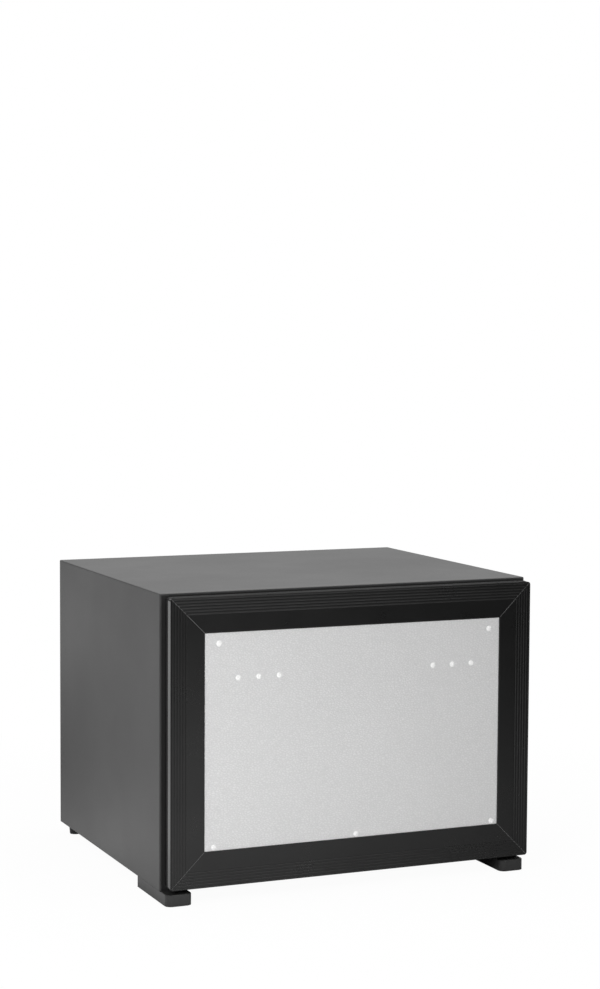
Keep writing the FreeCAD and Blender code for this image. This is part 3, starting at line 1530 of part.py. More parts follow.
def pieces():
    left_x, right_x = foot_places()
    rail = cabinet_rail()
    middle = middle_rail()
    inner = drawer_rail()
    right_arm = arm()
    sides = frame_sides()
    cage_outer_web = rail_steel + cage_web_gap
    cage_inner_web = middle_web_offset + rail_steel + cage_web_gap
    return {
        "cabinet_wrap": cabinet_wrap(),
        "base_plate": base_plate(),
        "rear_panel": rear_panel(),
        "foam_body": foam_body(),
        "inner_liner": inner_liner(),
        "breaker_frame": breaker_frame(),
        "rear_well": rear_well(),
        "front_foot_left": front_foot(left_x),
        "front_foot_right": front_foot(right_x),
        "rear_feet": rear_feet(),
        "case_screws": case_screws(),
        "rail_backings": rail_backings(),
        "cabinet_rail_right": rail,
        "cabinet_rail_left": mirrored(rail),
        "rail_screws": rail_screws(),
        "middle_rail_right": middle,
        "middle_rail_left": mirrored(middle),
        "drawer_rail_right": inner,
        "drawer_rail_left": mirrored(inner),
        "outer_ball_cages": ball_cages(outer_row, cage_outer_web),
        "inner_ball_cages": ball_cages(inner_row, cage_inner_web),
        "arm_right": right_arm,
        "arm_left": mirrored(right_arm),
        "arm_fasteners": arm_rivets(),
        "front_frame_top": sides["top"],
        "front_frame_bottom": sides["bottom"],
        "front_frame_left": sides["left"],
        "front_frame_right": sides["right"],
        "corner_keys": corner_keys(),
        "front_panel": front_panel(),
        "panel_rivets": panel_rivets(),
        "hole_plugs": hole_plugs(),
        "front_foam": front_foam(),
        "front_liner": front_liner(),
        "front_gasket": front_gasket(),
        "gasket_magnets": gasket_magnets(),
        "drawer_bin": drawer_bin(),
        "bin_divider": bin_divider(),
        "duct_cover": duct_cover(),
        "thermostat_knob": thermostat_knob(),
        "thermostat_body": thermostat_body(),
        "temperature_sensor": temperature_sensor(),
        "lamp_lens": lamp_lens(),
        "lamp_board": lamp_board(),
        "drip_tray": drip_tray(),
        "cold_fan_frame": fan_frame(cold_fan_side, cold_fan_depth, cold_fan_place()),
        "cold_fan_rotor": fan_rotor(cold_fan_side, cold_fan_depth, cold_fan_place()),
        "cold_sink": cold_sink(),
        "cold_block": cold_block(),
        "block_collar": block_collar(),
        "peltier_module": peltier_module(),
        "hot_sink": hot_sink(),
        "clamp_screws": clamp_screws(),
        "hot_fan_frame": fan_frame(hot_fan_side, hot_fan_depth, hot_fan_place()),
        "hot_fan_rotor": fan_rotor(hot_fan_side, hot_fan_depth, hot_fan_place()),
        "psu_case": psu_case(),
        "control_board": control_board(),
        "mains_inlet": mains_inlet(),
        "power_rocker": power_rocker(),
        "rear_cover": rear_cover(),
    }


def main():
    os.makedirs("parts", exist_ok=True)
    for name, shape in pieces().items():
        shape.exportStep(f"parts/{name}.step")
        print(name, len(shape.Solids), "solids,", round(shape.Volume), "mm3, valid", shape.isValid())


main()
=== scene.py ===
"""Studio picture of a drawer minibar: finishes for its solids, small visual pieces, lights and the camera."""

import logging
import math
from abc import ABC, abstractmethod
from collections.abc import Iterable, Sequence
from dataclasses import dataclass, field
from enum import Enum
from typing import Any, ClassVar

import bmesh
import bpy
from mathutils import Euler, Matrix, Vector

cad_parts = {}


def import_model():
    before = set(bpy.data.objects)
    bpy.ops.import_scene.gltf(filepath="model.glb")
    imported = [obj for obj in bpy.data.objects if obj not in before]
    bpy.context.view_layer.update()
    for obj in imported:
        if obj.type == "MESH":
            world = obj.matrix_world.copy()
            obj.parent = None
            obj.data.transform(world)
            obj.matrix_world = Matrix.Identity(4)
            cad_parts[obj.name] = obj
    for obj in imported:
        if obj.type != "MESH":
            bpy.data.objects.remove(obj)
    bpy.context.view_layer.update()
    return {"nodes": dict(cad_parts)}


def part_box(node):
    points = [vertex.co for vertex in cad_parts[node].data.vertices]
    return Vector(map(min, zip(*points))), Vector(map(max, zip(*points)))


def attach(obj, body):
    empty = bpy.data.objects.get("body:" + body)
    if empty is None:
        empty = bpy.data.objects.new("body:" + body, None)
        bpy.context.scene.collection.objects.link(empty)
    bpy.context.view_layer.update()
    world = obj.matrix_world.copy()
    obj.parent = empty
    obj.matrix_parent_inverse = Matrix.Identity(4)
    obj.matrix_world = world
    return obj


logging.basicConfig(level=logging.INFO, format="%(name)s: %(message)s")
log = logging.getLogger("minibar")

Colour = tuple[float, float, float]
Point = tuple[float, float, float]
Span = tuple[float, float]
Node = bpy.types.Node
Socket = bpy.types.NodeSocket
Object3D = bpy.types.Object

WHITE: Colour = (1.0, 1.0, 1.0)


def grey(level: float) -> Colour:
    """Return a neutral colour."""
    return (level, level, level)


def darker(colour: Colour, share: float) -> Colour:
    """Return a colour with only a share of its light."""
    return tuple(part * share for part in colour)


@dataclass(frozen=True)
class Relief:
    """Fine relief of a surface: grains per metre, strength from 0 to 1 and depth in metres."""

    size: float
    strength: float
    depth: float


class Body(Enum):
    """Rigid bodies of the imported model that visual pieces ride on."""

    DRAWER = "drawer"


class Grain(Enum):
    """Kinds of moulded surface, each with its relief."""

    SPARK = Relief(1700.0, 0.30, 0.0002)
    SMOOTH = Relief(300.0, 0.06, 0.0002)
    LEATHER = Relief(900.0, 0.35, 0.00015)


class NodeWriter:
    """Adds nodes to one tree and links them."""

    mix_share: ClassVar[int] = 0
    mix_colours: ClassVar[tuple[int, int]] = (6, 7)
    mix_result: ClassVar[int] = 2

    def __init__(self, tree: bpy.types.NodeTree) -> None:
        """Start on an emptied tree.

        Args:
            tree: Node tree of a material, a world or a group.
        """
        self.tree = tree
        tree.nodes.clear()

    def add(self, kind: str, values: dict[str | int, Any] | None = None, **options: Any) -> Node:
        """Add one node.

        Args:
            kind: Type name of the node.
            values: Input name or index to a value or to a socket that is linked to it.
            options: Attributes of the node.

        Returns:
            The new node.
        """
        node = self.tree.nodes.new(kind)
        for name, value in options.items():
            setattr(node, name, value)
        self.fill(node, values or {})
        return node

    def fill(self, node: Node, values: dict[str | int, Any]) -> None:
        """Set or link inputs of a node, by name or index."""
        for name, value in values.items():
            self.feed(node.inputs[name], value)

    def feed(self, socket: Socket, value: Any) -> None:
        """Set an input socket or link it.

        Args:
            socket: Input socket.
            value: Number, colour or output socket.
        """
        if isinstance(value, Socket):
            self.tree.links.new(value, socket)
        elif socket.type == "RGBA" and len(value) == 3:
            socket.default_value = (*value, 1.0)
        else:
            socket.default_value = value

    def math(self, operation: str, a: Any, b: Any = 0.0, clamp: bool = False) -> Socket:
        """Add a Math node and return its output."""
        return self.add("ShaderNodeMath", {0: a, 1: b}, operation=operation, use_clamp=clamp).outputs[0]

    def mix(self, share: Any, a: Any, b: Any, blend: str = "MIX") -> Socket:
        """Add a Mix node for colours.

        Args:
            share: Share of the second colour.
            a: First colour.
            b: Second colour.
            blend: Name of the blend.

        Returns:
            The mixed colour.
        """
        first, second = self.mix_colours
        node = self.add("ShaderNodeMix", data_type="RGBA", blend_type=blend)
        self.fill(node, {self.mix_share: share, first: a, second: b})
        return node.outputs[self.mix_result]

    def remap(self, value: Any, low: float, high: float, to_low: Any, to_high: Any) -> Socket:
        """Add a clamped Map Range node and return its output."""
        return self.add("ShaderNodeMapRange", {0: value, 1: low, 2: high, 3: to_low, 4: to_high}).outputs[0]

    def noise(self, where: Socket, scale: Any, detail: float = 2.0, rough: float = 0.5) -> Socket:
        """Add a Noise Texture and return its value output."""
        values = {"Vector": where, "Scale": scale, "Detail": detail, "Roughness": rough}
        return self.add("ShaderNodeTexNoise", values).outputs["Fac"]

    def vector(self, operation: str, a: Any, b: Any, result: str | int = 0) -> Socket:
        """Add a Vector Math node with two vectors and return one of its outputs."""
        return self.add("ShaderNodeVectorMath", {0: a, 1: b}, operation=operation).outputs[result]


@dataclass
class EffectGroup(ABC):
    """A surface effect that several finishes share, kept as one shader node group."""

    name: str
    numbers: dict[str, float]
    outputs: tuple[str, ...]
    colours: dict[str, Colour] = field(default_factory=dict)

    def tree(self) -> bpy.types.NodeTree:
        """Build the group on its first use.

        Returns:
            The node group with its named sockets.
        """
        found = bpy.data.node_groups.get(self.name)
        if found is not None:
            return found
        group = bpy.data.node_groups.new(self.name, "ShaderNodeTree")
        for name, value in (self.colours | self.numbers).items():
            socket = group.interface.new_socket(name, in_out="INPUT", socket_type=self.kind(name))
            socket.default_value = (*value, 1.0) if name in self.colours else value
        for name in self.outputs:
            group.interface.new_socket(name, in_out="OUTPUT", socket_type=self.kind(name))
        writer = NodeWriter(group)
        source = writer.add("NodeGroupInput")
        sink = writer.add("NodeGroupOutput")
        where = writer.add("ShaderNodeTexCoord").outputs["Object"]
        for name, socket in self.shape(writer, source, where).items():
            writer.feed(sink.inputs[name], socket)
        return group

    def kind(self, name: str) -> str:
        """Return the type of a named socket."""
        return "NodeSocketColor" if name in self.colours else "NodeSocketFloat"

    def place(self, writer: NodeWriter, values: dict[str, Any]) -> Node:
        """Place the group in a material and return its node."""
        return writer.add("ShaderNodeGroup", values, node_tree=self.tree())

    @abstractmethod
    def shape(self, writer: NodeWriter, source: Node, where: Socket) -> dict[str, Socket]:
        """Write the nodes inside the group and return the output sockets by name."""


class ToneDrift(EffectGroup):
    """Slow change of tone over a surface, with a finer mottling on top."""

    slow_detail: ClassVar[float] = 3.0
    mottle_scale: ClassVar[float] = 620.0
    mottle_share: ClassVar[float] = 0.3
    middle: ClassVar[float] = 0.5

    def shape(self, writer: NodeWriter, source: Node, where: Socket) -> dict[str, Socket]:
        """Write two sizes of noise that darken and lighten the colour.

        Args:
            writer: Writer of the group's tree.
            source: Group input node.
            where: Place on the object.

        Returns:
            The drifting colour and the mask behind it.
        """
        slow = writer.noise(where, source.outputs["Size"], self.slow_detail)
        mottle = writer.noise(where, self.mottle_scale)
        both = writer.math("ADD", writer.math("MULTIPLY", slow, 1.0 - self.mottle_share),
                           writer.math("MULTIPLY", mottle, self.mottle_share))
        offset = writer.math("MULTIPLY", writer.math("SUBTRACT", both, self.middle), source.outputs["Drift"])
        factor = writer.math("ADD", offset, 1.0)
        tint = writer.add("ShaderNodeCombineColor", {0: factor, 1: factor, 2: factor}).outputs[0]
        colour = writer.mix(1.0, source.outputs["Colour"], tint, "MULTIPLY")
        return {"Colour": colour, "Mask": both}


class DustFilm(EffectGroup):
    """Thin dust that lies on faces that look up."""

    facing_up: ClassVar[Span] = (0.35, 0.95)
    cloud_noise: ClassVar[tuple[float, float, float]] = (26.0, 5.0, 0.65)
    cloud_span: ClassVar[Span] = (0.42, 0.72)
    cloud_share: ClassVar[float] = 0.6
    speck_noise: ClassVar[tuple[float, float]] = (900.0, 1.0)
    speck_span: ClassVar[Span] = (0.62, 0.74)

    def shape(self, writer: NodeWriter, source: Node, where: Socket) -> dict[str, Socket]:
        """Write a mask from the upward normal and clouds of noise.

        Args:
            writer: Writer of the group's tree.
            source: Group input node.
            where: Place on the object.

        Returns:
            The dusty colour and the mask of the dust.
        """
        normal = writer.add("ShaderNodeNewGeometry").outputs["Normal"]
        up = writer.add("ShaderNodeSeparateXYZ", {0: normal}).outputs[2]
        lying = writer.remap(up, *self.facing_up, 0.0, 1.0)
        clouds = writer.remap(writer.noise(where, *self.cloud_noise), *self.cloud_span, 0.0, 1.0)
        specks = writer.remap(writer.noise(where, *self.speck_noise), *self.speck_span, 0.0, 1.0)
        heap = writer.math("ADD", writer.math("MULTIPLY", clouds, self.cloud_share),
                           writer.math("MULTIPLY", specks, 1.0 - self.cloud_share))
        mask = writer.math("MULTIPLY", writer.math("MULTIPLY", lying, heap), source.outputs["Amount"], True)
        colour = writer.mix(mask, source.outputs["Colour"], source.outputs["Dust"])
        return {"Colour": colour, "Mask": mask}


class FineGrain(EffectGroup):
    """Height of a fine irregular grain."""

    finer_times: ClassVar[float] = 3.1
    finer_detail: ClassVar[float] = 1.0
    finer_share: ClassVar[float] = 0.45

    def shape(self, writer: NodeWriter, source: Node, where: Socket) -> dict[str, Socket]:
        """Write noise in two sizes, the second about three times finer.

        Args:
            writer: Writer of the group's tree.
            source: Group input node.
            where: Place on the object.

        Returns:
            The height.
        """
        first = writer.noise(where, source.outputs["Size"])
        finer = writer.math("MULTIPLY", source.outputs["Size"], self.finer_times)
        second = writer.noise(where, finer, self.finer_detail)
        share = writer.math("MULTIPLY", second, self.finer_share)
        height = writer.math("ADD", writer.math("MULTIPLY", first, 1.0 - self.finer_share), share)
        return {"Height": height}


class PebbleGrain(EffectGroup):
    """Rounded pebbles with narrow valleys, as rolled or moulded into a surface."""

    warp: ClassVar[float] = 0.0022
    dome_reach: ClassVar[float] = 0.32
    dome_power: ClassVar[float] = 0.6
    skin_noise: ClassVar[tuple[float, float]] = (2600.0, 1.0)
    skin_share: ClassVar[float] = 0.25

    def shape(self, writer: NodeWriter, source: Node, where: Socket) -> dict[str, Socket]:
        """Write warped cells, drawn out along X, and their distance to the nearest edge.

        Args:
            writer: Writer of the group's tree.
            source: Group input node.
            where: Place on the object.

        Returns:
            The height and the mask of the valleys.
        """
        size = source.outputs["Size"]
        squeeze = writer.add("ShaderNodeCombineXYZ", {0: source.outputs["Squeeze X"], 1: 1.0, 2: 1.0})
        laid = writer.vector("MULTIPLY", where, squeeze.outputs[0])
        sway = writer.add("ShaderNodeTexNoise", {"Vector": laid, "Scale": size}).outputs["Color"]
        push = writer.add("ShaderNodeVectorMath", {0: sway, "Scale": self.warp}, operation="SCALE").outputs[0]
        moved = writer.vector("ADD", laid, push)
        cells = writer.add("ShaderNodeTexVoronoi", {"Vector": moved, "Scale": size},
                           feature="DISTANCE_TO_EDGE")
        dome = writer.remap(cells.outputs["Distance"], 0.0, self.dome_reach, 0.0, 1.0)
        soft = writer.math("POWER", dome, self.dome_power)
        skin = writer.noise(laid, *self.skin_noise)
        height = writer.math("ADD", soft, writer.math("MULTIPLY", skin, self.skin_share))
        return {"Height": height, "Valley": writer.math("SUBTRACT", 1.0, dome, True)}


class DrawnLines(EffectGroup):
    """Fine lines left by rolling, drawing or brushing metal, along X, Y or Z."""

    line_noise: ClassVar[tuple[float, float, float]] = (1.0, 4.0, 0.7)
    mask_span: ClassVar[Span] = (0.35, 0.65)

    def shape(self, writer: NodeWriter, source: Node, where: Socket) -> dict[str, Socket]:
        """Write noise that is stretched along the line direction.

        Args:
            writer: Writer of the group's tree.
            source: Group input node.
            where: Place on the object.

        Returns:
            The height and the mask of the lines.
        """
        across = {i: source.outputs[f"Across {axis}"] for i, axis in enumerate("XYZ")}
        stretch = writer.add("ShaderNodeCombineXYZ", across).outputs[0]
        lines = writer.noise(writer.vector("MULTIPLY", where, stretch), *self.line_noise)
        return {"Height": lines, "Mask": writer.remap(lines, *self.mask_span, 0.0, 1.0)}


TONE = ToneDrift("tone_drift", {"Drift": 0.1, "Size": 14.0}, ("Colour", "Mask"), {"Colour": grey(0.5)})
DUST = DustFilm("dust_film", {"Amount": 0.1}, ("Colour", "Mask"),
                {"Colour": grey(0.5), "Dust": (0.55, 0.54, 0.52)})
GRAIN = FineGrain("fine_grain", {"Size": 900.0}, ("Height",))
PEBBLE = PebbleGrain("pebble_grain", {"Size": 480.0, "Squeeze X": 1.0}, ("Height", "Valley"))
LINES = DrawnLines("drawn_lines", {"Across X": 40.0, "Across Y": 40.0, "Across Z": 1400.0},
                   ("Height", "Mask"))


@dataclass(frozen=True)
class Finish(ABC):
    """A surface finish that makes one material."""

    name: str
    colour: Colour
    roughness: float = 0.5
    edge: float = field(default=0.0, kw_only=True)

    edge_samples: ClassVar[int] = 14
    drift: ClassVar[float] = 0.1
    drift_size: ClassVar[float] = 14.0
    mask_span: ClassVar[Span] = (0.0, 1.0)
    rough_steps: ClassVar[Span] = (0.0, 0.0)

    def material(self) -> bpy.types.Material:
        """Make the material on its first use.

        Returns:
            The material of this finish.
        """
        label = f"{self.name}_finish"
        found = bpy.data.materials.get(label)
        if found is not None:
            return found
        made = bpy.data.materials.new(label)
        made.use_nodes = True
        made.diffuse_color = (*self.colour, 1.0)
        writer = NodeWriter(made.node_tree)
        shader = writer.add("ShaderNodeBsdfPrincipled")
        writer.add("ShaderNodeOutputMaterial", {"Surface": shader.outputs[0]})
        self.write(writer, shader)
        return made

    def tone(self, writer: NodeWriter) -> Node:
        """Place the slow drift of the finish's colour and return its node."""
        return TONE.place(writer, {"Colour": self.colour, "Drift": self.drift, "Size": self.drift_size})

    def clouded(self, writer: NodeWriter, mask: Socket) -> Socket:
        """Return the roughness, spread over a mask."""
        low, high = (self.roughness + step for step in self.rough_steps)
        return writer.remap(mask, *self.mask_span, low, high)

    def bump(self, writer: NodeWriter, shader: Node, height: Socket, strength: float,
             depth: float) -> None:
        """Feed a height to the shader's normal.

        Args:
            writer: Writer of the material's tree.
            shader: The Principled shader.
            height: Height socket.
            strength: Strength of the bump, from 0 to 1.
            depth: Height of the relief in metres.
        """
        node = writer.add("ShaderNodeBump", {"Height": height, "Strength": strength, "Distance": depth})
        if self.edge > 0.0:
            rounded = writer.add("ShaderNodeBevel", {"Radius": self.edge}, samples=self.edge_samples)
            writer.feed(node.inputs["Normal"], rounded.outputs[0])
        writer.feed(shader.inputs["Normal"], node.outputs[0])

    def grain_bump(self, writer: NodeWriter, shader: Node, relief: Relief,
                   group: EffectGroup = GRAIN) -> None:
        """Feed the height of a grain to the shader's normal.

        Args:
            writer: Writer of the material's tree.
            shader: The Principled shader.
            relief: Size, strength and depth of the grain.
            group: Effect that gives the height.
        """
        height = group.place(writer, {"Size": relief.size}).outputs["Height"]
        self.bump(writer, shader, height, relief.strength, relief.depth)

    @abstractmethod
    def write(self, writer: NodeWriter, shader: Node) -> None:
        """Write the nodes that feed the shader."""


@dataclass(frozen=True)
class PaintedSteel(Finish):
    """Baked powder paint with a slight orange peel and a little dust on top."""

    dust: float = 0.10
    specular: float = 0.5

    drift: ClassVar[float] = 0.10
    drift_size: ClassVar[float] = 7.0
    mask_span: ClassVar[Span] = (0.3, 0.7)
    rough_steps: ClassVar[Span] = (-0.04, 0.05)
    peel: ClassVar[Relief] = Relief(850.0, 0.12, 0.0003)

    def write(self, writer: NodeWriter, shader: Node) -> None:
        """Write tone drift, dust, roughness clouds and orange peel.

        Args:
            writer: Writer of the material's tree.
            shader: The Principled shader.
        """
        tone = self.tone(writer)
        dust = DUST.place(writer, {"Colour": tone.outputs["Colour"], "Amount": self.dust})
        writer.fill(shader, {"Base Color": dust.outputs["Colour"], "Specular IOR Level": self.specular,
                             "Roughness": self.clouded(writer, tone.outputs["Mask"])})
        self.grain_bump(writer, shader, self.peel)


@dataclass(frozen=True)
class MouldedPlastic(Finish):
    """Injection-moulded plastic with a spark-eroded, smooth or leather grain."""

    grain: Grain = Grain.SPARK
    specular: float = 0.5
    coat: float = 0.0
    dust: float = 0.05
    top_gloss: float = field(default=1.0, kw_only=True)
    side_gloss: float = field(default=1.0, kw_only=True)

    drift: ClassVar[float] = 0.12
    drift_size: ClassVar[float] = 18.0
    mask_span: ClassVar[Span] = (0.3, 0.7)
    rough_steps: ClassVar[Span] = (-0.05, 0.06)
    coat_roughness: ClassVar[float] = 0.08
    facing: ClassVar[Span] = (0.80, 0.95)
    top_roughness: ClassVar[float] = 0.65
    side_smoother: ClassVar[float] = 0.12

    def write(self, writer: NodeWriter, shader: Node) -> None:
        """Write tone drift, dust, roughness clouds and the mould's grain.

        Args:
            writer: Writer of the material's tree.
            shader: The Principled shader.
        """
        tone = self.tone(writer)
        dust = DUST.place(writer, {"Colour": tone.outputs["Colour"], "Amount": self.dust})
        writer.fill(shader, {"Base Color": dust.outputs["Colour"], "Specular IOR Level": self.specular,
                             "Roughness": self.clouded(writer, tone.outputs["Mask"])})
        if self.top_gloss != 1.0 or self.side_gloss != 1.0:
            self.vary_by_side(writer, shader)
        if self.coat > 0.0:
            writer.fill(shader, {"Coat Weight": self.coat, "Coat Roughness": self.coat_roughness})
        self.grain_bump(writer, shader, self.grain.value, PEBBLE if self.grain is Grain.LEATHER else GRAIN)

    def vary_by_side(self, writer: NodeWriter, shader: Node) -> None:
        """Make faces that look up duller and faces that look sideways glossier.

        Args:
            writer: Writer of the material's tree.
            shader: The Principled shader, whose roughness is linked by now.
        """
        rough = shader.inputs["Roughness"].links[0].from_socket
        normal = writer.add("ShaderNodeNewGeometry").outputs["True Normal"]
        facing = writer.add("ShaderNodeSeparateXYZ", {0: normal}).outputs
        sideways = writer.math("ABSOLUTE", facing[0])
        rough = writer.remap(facing[2], *self.facing, rough, self.top_roughness)
        rough = writer.remap(sideways, *self.facing, rough, self.roughness - self.side_smoother)
        gloss = writer.remap(facing[2], *self.facing, self.specular, self.specular * self.top_gloss)
        gloss = writer.remap(sideways, *self.facing, gloss, self.specular * self.side_gloss)
        writer.fill(shader, {"Roughness": rough, "Specular IOR Level": gloss})


@dataclass(frozen=True)
class BareMetal(Finish):
    """Metal with drawn lines, faint stains and a slow change of tone."""

    lines: Point = (40.0, 40.0, 1400.0)
    line_strength: float = 0.15
    stain: Colour = (0.30, 0.29, 0.28)

    drift: ClassVar[float] = 0.16
    drift_size: ClassVar[float] = 24.0
    rough_steps: ClassVar[Span] = (-0.06, 0.10)
    stain_span: ClassVar[Span] = (0.52, 0.72)
    stain_share: ClassVar[float] = 0.35
    line_depth: ClassVar[float] = 0.0002

    def write(self, writer: NodeWriter, shader: Node) -> None:
        """Write the drawn lines, stains and roughness.

        Args:
            writer: Writer of the material's tree.
            shader: The Principled shader.
        """
        lines = LINES.place(writer, {f"Across {axis}": across for axis, across in zip("XYZ", self.lines)})
        tone = self.tone(writer)
        stains = writer.remap(tone.outputs["Mask"], *self.stain_span, 0.0, self.stain_share)
        writer.fill(shader, {"Base Color": writer.mix(stains, tone.outputs["Colour"], self.stain),
                             "Metallic": 1.0, "Roughness": self.clouded(writer, lines.outputs["Mask"])})
        self.bump(writer, shader, lines.outputs["Height"], self.line_strength, self.line_depth)


@dataclass(frozen=True)
class ZincSheet(Finish):
    """Galvanised sheet with its spangle of crystals."""

    spangle: float = 150.0

    drift_size: ClassVar[float] = 12.0
    rough_steps: ClassVar[Span] = (-0.08, 0.10)
    crystal_light: ClassVar[float] = 0.80
    crystal_share: ClassVar[float] = 0.55
    metallic: ClassVar[float] = 0.85
    skin: ClassVar[Relief] = Relief(420.0, 0.10, 0.0002)

    def write(self, writer: NodeWriter, shader: Node) -> None:
        """Write crystals with their own tone and gloss.

        Args:
            writer: Writer of the material's tree.
            shader: The Principled shader.
        """
        where = writer.add("ShaderNodeTexCoord").outputs["Object"]
        cells = writer.add("ShaderNodeTexVoronoi", {"Vector": where, "Scale": self.spangle})
        crystal = writer.add("ShaderNodeSeparateColor", {0: cells.outputs["Color"]}).outputs[0]
        tone = self.tone(writer)
        share = writer.remap(crystal, 0.0, 1.0, 0.0, self.crystal_share)
        colour = writer.mix(share, tone.outputs["Colour"], darker(self.colour, self.crystal_light))
        writer.fill(shader, {"Base Color": colour, "Metallic": self.metallic,
                             "Roughness": self.clouded(writer, crystal)})
        self.grain_bump(writer, shader, self.skin)


@dataclass(frozen=True)
class EmbossedSheet(Finish):
    """Aluminium sheet with a rolled pebble pattern, as used on refrigerator panels."""

    drift: ClassVar[float] = 0.05
    drift_size: ClassVar[float] = 9.0
    rough_steps: ClassVar[Span] = (0.0, 0.12)
    pebbles: ClassVar[Relief] = Relief(430.0, 0.42, 0.0003)
    squeeze: ClassVar[float] = 0.6
    metallic: ClassVar[float] = 0.5
    # Share of the colour left in the painted shade of the valleys, and how much of that shade shows.
    valley_shade_level: ClassVar[float] = 0.78
    valley_shade_share: ClassVar[float] = 0.45

    def write(self, writer: NodeWriter, shader: Node) -> None:
        """Write the pebbles and their duller valleys, darkened with painted shade.

        Args:
            writer: Writer of the material's tree.
            shader: The Principled shader.
        """
        pebbles = PEBBLE.place(writer, {"Size": self.pebbles.size, "Squeeze X": self.squeeze})
        tone = self.tone(writer)
        # Painted shade: the colour darkens in the pebbles' valleys.
        valley_shade = writer.math("MULTIPLY", pebbles.outputs["Valley"], self.valley_shade_share)
        colour = writer.mix(valley_shade, tone.outputs["Colour"], darker(self.colour, self.valley_shade_level))
        writer.fill(shader, {"Base Color": colour, "Metallic": self.metallic,
                             "Roughness": self.clouded(writer, pebbles.outputs["Valley"])})
        self.bump(writer, shader, pebbles.outputs["Height"], self.pebbles.strength, self.pebbles.depth)


@dataclass(frozen=True)
class RigidFoam(Finish):
    """Cut or moulded insulation foam with a fine skin of cells."""

    cells: float = 1100.0

    drift: ClassVar[float] = 0.22
    drift_size: ClassVar[float] = 30.0
    # Share of the colour left in the painted shade of the hollows.
    valley_shade_level: ClassVar[float] = 0.62
    cell_strength: ClassVar[float] = 0.5
    cell_depth: ClassVar[float] = 0.0004

    def write(self, writer: NodeWriter, shader: Node) -> None:
        """Write foam cells with painted shade that darkens their hollows, and yellowing clouds.

        Args:
            writer: Writer of the material's tree.
            shader: The Principled shader.
        """
        tone = self.tone(writer)
        pebbles = PEBBLE.place(writer, {"Size": self.cells})
        # Painted shade: the colour darkens in the hollows of the cells.
        cell_shade = darker(self.colour, self.valley_shade_level)
        colour = writer.mix(pebbles.outputs["Valley"], tone.outputs["Colour"], cell_shade)
        writer.fill(shader, {"Base Color": colour, "Roughness": self.roughness})
        self.bump(writer, shader, pebbles.outputs["Height"], self.cell_strength, self.cell_depth)


@dataclass(frozen=True)
class SoftRubber(Finish):
    """Soft vinyl or rubber with a dull bloom."""

    bloom: Colour = (0.09, 0.09, 0.095)
    specular: float = 0.4

    drift: ClassVar[float] = 0.2
    drift_size: ClassVar[float] = 45.0
    bloom_span: ClassVar[Span] = (0.48, 0.7)
    bloom_share: ClassVar[float] = 0.3
    skin: ClassVar[Relief] = Relief(1300.0, 0.15, 0.0002)

    def write(self, writer: NodeWriter, shader: Node) -> None:
        """Write the bloom and a fine skin.

        Args:
            writer: Writer of the material's tree.
            shader: The Principled shader.
        """
        tone = self.tone(writer)
        share = writer.remap(tone.outputs["Mask"], *self.bloom_span, 0.0, self.bloom_share)
        writer.fill(shader, {"Base Color": writer.mix(share, tone.outputs["Colour"], self.bloom),
                             "Roughness": self.roughness, "Specular IOR Level": self.specular})
        self.grain_bump(writer, shader, self.skin)


@dataclass(frozen=True)
class FrostedLens(Finish):
    """Milky light cover."""

    drift: ClassVar[float] = 0.04
    drift_size: ClassVar[float] = 60.0
    glow: ClassVar[float] = 0.25
    skin: ClassVar[Relief] = Relief(700.0, 0.2, 0.0002)

    def write(self, writer: NodeWriter, shader: Node) -> None:
        """Write a milky body with a faint glow.

        Args:
            writer: Writer of the material's tree.
            shader: The Principled shader.
        """
        milk = self.tone(writer).outputs["Colour"]
        writer.fill(shader, {"Base Color": milk, "Emission Color": milk, "Emission Strength": self.glow,
                             "Roughness": self.roughness})
        self.grain_bump(writer, shader, self.skin)


@dataclass(frozen=True)
class CircuitBoard(Finish):
    """Green board with copper tracks under the lacquer."""

    drift: ClassVar[float] = 0.15
    drift_size: ClassVar[float] = 80.0
    track: ClassVar[Colour] = (0.10, 0.30, 0.13)
    track_share: ClassVar[float] = 0.8
    track_scale: ClassVar[float] = 90.0
    track_width: ClassVar[float] = 0.03
    track_strength: ClassVar[float] = 0.2
    track_depth: ClassVar[float] = 0.0001

    def write(self, writer: NodeWriter, shader: Node) -> None:
        """Write right-angled tracks, laid out on the board's upright plane.

        Args:
            writer: Writer of the material's tree.
            shader: The Principled shader.
        """
        where = writer.add("ShaderNodeTexCoord").outputs["Object"]
        upright = writer.add("ShaderNodeVectorRotate", {"Vector": where, "Angle": math.pi / 2},
                             rotation_type="X_AXIS").outputs[0]
        bricks = writer.add("ShaderNodeTexBrick", {"Vector": upright, "Scale": self.track_scale,
                                                   "Mortar Size": self.track_width}).outputs["Fac"]
        tracks = writer.math("MULTIPLY", bricks, self.track_share)
        tone = self.tone(writer)
        writer.fill(shader, {"Base Color": writer.mix(tracks, tone.outputs["Colour"], self.track),
                             "Roughness": self.roughness})
        self.bump(writer, shader, bricks, self.track_strength, self.track_depth)


